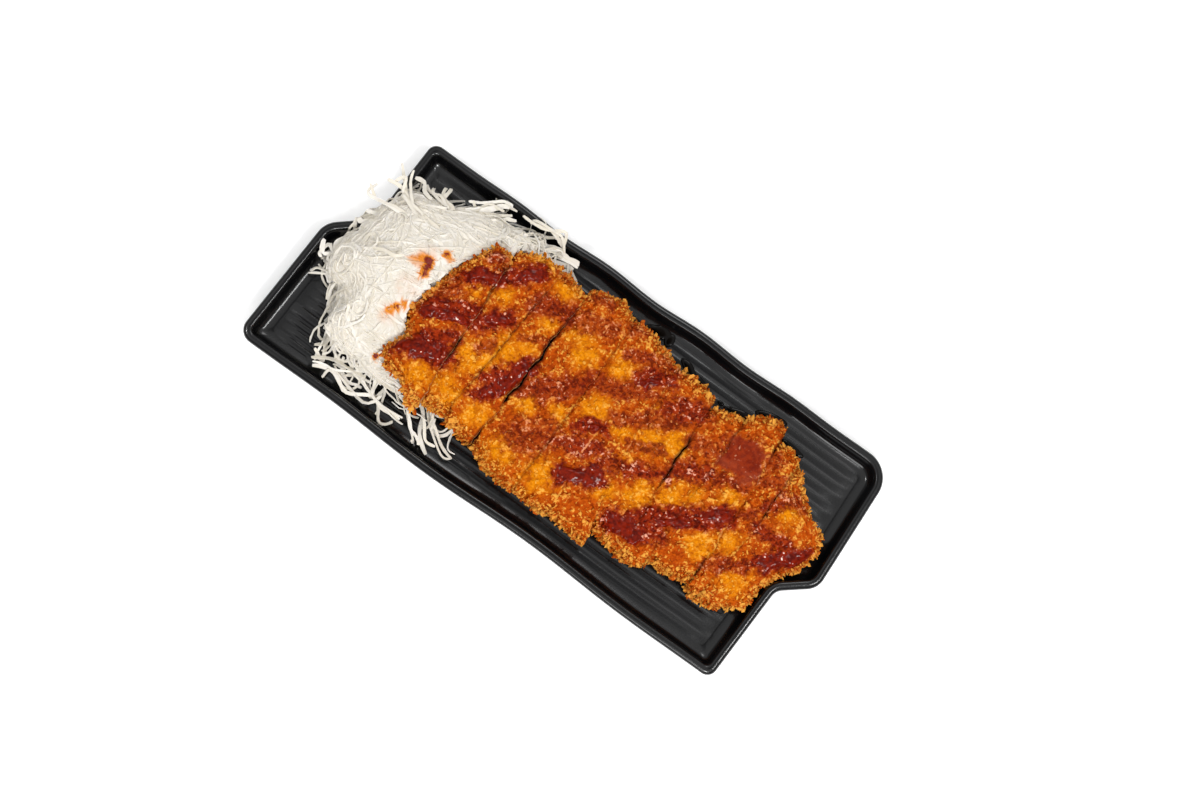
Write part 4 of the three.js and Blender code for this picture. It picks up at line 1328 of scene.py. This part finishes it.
def bent_run(x, y, heading, bends, length, random):
    """Runs of points from given places, each with its own length and a heading that wanders."""
    count = len(x)
    bend = random.normal(0, bends[0], (count, 1)) + random.normal(0, bends[1], (count, SHRED_POINTS))
    heading = heading[:, None] + np.cumsum(bend, axis=1)
    stride = random.uniform(*length, (count, 1)) / (SHRED_POINTS - 1)
    x = x[:, None] + np.cumsum(stride * np.cos(heading), axis=1)
    return x, y[:, None] + np.cumsum(stride * np.sin(heading), axis=1)


def on_heap(x, y, layers, random):
    """Heights of shreds on the heap, each in a layer of its own."""
    z = heap_top(x.ravel(), y.ravel(), SHRED_MARGIN).reshape(x.shape)
    return z + random.uniform(*layers, (len(x), 1))


def laid(x, y, z):
    """Shreds with their heights evened out, kept above the plate and out of the slices."""
    z[:, 1:-1] = (z[:, :-2] + 2 * z[:, 1:-1] + z[:, 2:]) / 4
    return cut_short(np.stack([x, y, settle(x, y, z)], axis=2))


def lying_paths(count, spread, length, layers, random):
    """Shreds that lie flat over the heap in loose bends, along its foot where they are near it."""
    x, y = open_places(count, spread, random)
    outward, away = from_summit(x, y)
    inner = away < HEAP_MIDDLE * heap_spread(outward)
    around = outward + random.choice((-0.5, 0.5), count) * math.pi + random.normal(0, LYING_TURN, count)
    heading = np.where(inner, random.uniform(0, math.tau, count), around)
    x, y = bent_run(x, y, heading, LYING_BENDS, length, random)
    x -= (x[:, -1:] - x[:, :1]) / 2
    y -= (y[:, -1:] - y[:, :1]) / 2
    x, y = held_in(x, y, random.uniform(*LYING_HOLD, (count, 1)))
    z = on_heap(x, y, layers, random)
    swing = random.uniform(0, math.tau, (count, 1))
    swing = swing + np.arange(SHRED_POINTS) * random.uniform(*SWING_RATE, (count, 1))
    return laid(x, y, z + LYING_SWING * np.sin(swing))


def border_paths(count, length, random):
    """Shreds that reach out of the heap's foot and curl over the plate."""
    angle = random.uniform(0, math.tau, count)
    x, y = heap_place(angle, heap_spread(angle) * random.uniform(*BORDER_START, count))
    x, y = bent_run(x, y, angle + random.normal(0, BORDER_TURN, count), BORDER_BENDS, length, random)
    outward, away = from_summit(x, y)
    kept = np.max(away / heap_spread(outward), axis=1) < random.uniform(1, LOOSE_REACH, count)
    x, y = x[kept], y[kept]
    z = on_heap(x, y, BORDER_LAYERS, random)
    lift = random.gamma(1, BORDER_LIFT, (len(x), 1)).clip(0, BORDER_LIFT_MOST)
    return laid(x, y, z + lift * np.linspace(0, 1, SHRED_POINTS) ** 2)


def placed_paths(places, copies, random):
    """Shreds through given points, each with so many copies near it."""
    paths = []
    for points in places:
        for copy in range(copies):
            spread = 0 if copy == 0 else STRAY_COPY_SPREAD
            knots = np.array(points, float) + random.normal(0, spread, (4, 3)) * STRAY_COPY_WAYS
            path = smooth_curve(knots, STRAY_STEPS)
            swing = random.uniform(0, math.tau, 2) + np.linspace(0, STRAY_WAVES, SHRED_POINTS)[:, None]
            path[:, :2] += STRAY_SWING * np.sin(swing)
            path[:, 2] = settle(path[:, 0], path[:, 1], path[:, 2])
            paths.append(path)
    return cut_short(np.array(paths))


def tapered(tip, ends):
    """Share of the full size at so many points from the nearer end."""
    return np.clip(tip[0] + tip[1] * ends, 0, 1)


def shred_piece(name, paths, sizes, material, random):
    """Flat strips along paths, each with its own width and twist, narrowing to its ends."""
    width, thickness, turn = sizes
    count, steps, _ = paths.shape
    along = unit(np.gradient(paths, axis=1))
    side = unit(np.cross(along, (0, 0, 1)))
    up = np.cross(side, along)
    start_twist = random.normal(0, 1, (count, 1))
    wander = np.cumsum(random.normal(0, TWIST_WANDER, (count, steps)), axis=1)
    twist = turn * (start_twist + wander)
    turned = side * np.cos(twist)[..., None] + up * np.sin(twist)[..., None]
    across = np.cross(turned, along)
    ends = np.minimum(np.arange(steps), np.arange(steps)[::-1])
    half = random.uniform(*width, (count, 1)) / 2 * tapered(TIP_WIDTH, ends)
    half = half * random.uniform(*WIDTH_UNEVEN, (count, steps))
    thin = random.uniform(*thickness, (count, 1)) / 2 * tapered(TIP_THICKNESS, ends)
    corners = []
    for s, u in ((-1, -1), (1, -1), (1, 1), (-1, 1)):
        corners.append(paths + turned * (s * half)[..., None] + across * (u * thin)[..., None])
    points = np.stack(corners, axis=2).reshape(-1, 3)
    first = np.arange(count)[:, None, None] * steps * 4 + np.arange(steps - 1)[None, :, None] * 4
    ring = np.arange(4)
    a = first + ring
    b = first + (ring + 1) % 4
    walls = np.stack([a, b, b + 4, a + 4], axis=3).reshape(-1, 4)
    start = np.arange(count)[:, None] * steps * 4
    caps = np.concatenate([start + ring[::-1], start + (steps - 1) * 4 + ring])
    piece = new_mesh_object(name, points, np.concatenate([walls, caps]))
    deselect_all()
    piece.select_set(True)
    bpy.context.view_layer.objects.active = piece
    smooth_below(SHRED_SMOOTH)
    write_attribute(piece, "tint", np.repeat(random.uniform(0, 1, count), steps * 4))
    write_attribute(piece, "stain", stain_at(points[:, 0], points[:, 1]))
    finish_piece(piece, material, "cabbage", "cabbage")


def cabbage_pieces(material):
    random = np.random.default_rng(SHRED_SEED)
    cabbage_core(material)
    lying = lying_paths(*FINE_SHREDS, random)
    strays = placed_paths(STRAYS, 2, random)
    shred_piece("cabbage_shreds", np.concatenate([lying, strays]), FINE_SIZES, material, random)
    border = border_paths(*BORDER_SHREDS, random)
    shred_piece("cabbage_curls", border, CURL_SIZES, material, random)
    broad = lying_paths(*BROAD_SHREDS, random)
    ribbons = placed_paths(RIBBONS, 1, random)
    shred_piece("cabbage_strips", np.concatenate([broad, ribbons]), STRIP_SIZES, material, random)


# Oil on the plate

def oil_drops(material):
    """Flat lenses with uneven outlines that lie over the ribs, joined into one piece."""
    angle = np.arange(OIL_POINTS) * math.tau / OIL_POINTS
    drops = []
    for lane, (x, y, half_long, half_wide, turn) in enumerate(OIL_DROPS):
        uneven = 1 + OIL_UNEVEN * line_noise(angle, lane, *OIL_NOISE) * np.sin(angle / 2)
        lean = math.radians(turn)
        drop = flat_circle("oil_drops", OIL_POINTS, 1)
        draw_rim(len(OIL_SECTION) - 1, MM)
        close_rim()
        rings = []
        for share, rise in OIL_SECTION:
            along = half_long * share * uneven * np.cos(angle)
            across = half_wide * share * uneven * np.sin(angle)
            px = x + along * math.cos(lean) - across * math.sin(lean)
            py = y + along * math.sin(lean) + across * math.cos(lean)
            rings.append(np.stack([px, py, np.full(OIL_POINTS, FLOOR_Z + rise)], axis=1))
        write_points(drop, np.concatenate(rings))
        drops.append(drop)
    for drop in drops:
        drop.select_set(True)
    bpy.context.view_layer.objects.active = drops[0]
    bpy.ops.object.join()
    face_outward()
    drops[0].data.shade_smooth()
    finish_piece(drops[0], material, "plate")


# Table, light and camera

def aim(thing, place, target):
    way = Vector(target) - Vector(place)
    turn = way.to_track_quat("-Z", "Y").to_matrix().to_4x4()
    thing.matrix_world = Matrix.Translation(Vector(place)) @ turn


def soft_light(name, place, size, power):
    deselect_all()
    bpy.ops.object.light_add(type="AREA")
    light = bpy.context.object
    light.name = name
    light.data.size = size
    light.data.energy = power
    aim(light, place, LIGHT_AIM)


def table_and_light():
    deselect_all()
    bpy.ops.mesh.primitive_plane_add(size=TABLE_SIZE)
    table = bpy.context.object
    table.name = "table"
    table.data.materials.append(table_finish())
    for name, place, size, power in LIGHTS:
        soft_light(name, place, size, power)
    bpy.context.scene.world = room()
    bpy.context.scene.view_settings.view_transform = "Standard"


def room():
    world = bpy.data.worlds.new("room")
    world.use_nodes = True
    wires = Wiring(world.node_tree)
    way = wires.node("ShaderNodeTexCoord", {}, {}, "Generated")
    middle = Vector(ROOM_MIDDLE).normalized()
    along_middle = {"operation": "DOT_PRODUCT"}
    height = wires.node("ShaderNodeVectorMath", along_middle, {0: way, 1: middle}, "Value")
    inner = wires.ramp(height, *RING_INNER)
    outer = wires.ramp(height, *RING_OUTER)
    background = world.node_tree.nodes["Background"]
    background.inputs["Color"].default_value = (1, 1, 1, 1)
    wires.feed(background.inputs["Strength"], inner * (ROOM_LOW + ROOM_RING * outer))
    return world


def camera():
    deselect_all()
    bpy.ops.object.camera_add()
    view = bpy.context.object
    tilt = math.radians(CAMERA_TILT)
    roll = math.radians(CAMERA_ROLL)
    forward = Vector((0, math.cos(tilt), -math.sin(tilt)))
    level = Vector((1, 0, 0))
    upright = Vector((0, math.sin(tilt), math.cos(tilt)))
    right = level * math.cos(roll) + upright * math.sin(roll)
    up = upright * math.cos(roll) - level * math.sin(roll)
    turn = Matrix((right, up, -forward)).transposed().to_4x4()
    eye = (Vector(CAMERA_TARGET) - forward * CAMERA_DISTANCE) * MM
    view.matrix_world = Matrix.Translation(eye) @ turn
    view.data.lens = LENS
    view.data.sensor_width = SENSOR
    bpy.context.scene.camera = view


camera()
table_and_light()
plate_piece(plate_glaze())
crust = crust_finish()
crusts = [slice_piece(i, crust) for i in range(len(SLICES))]
crust_flakes(crusts, crust)
cabbage_pieces(cabbage_finish())
oil_drops(oil_finish())
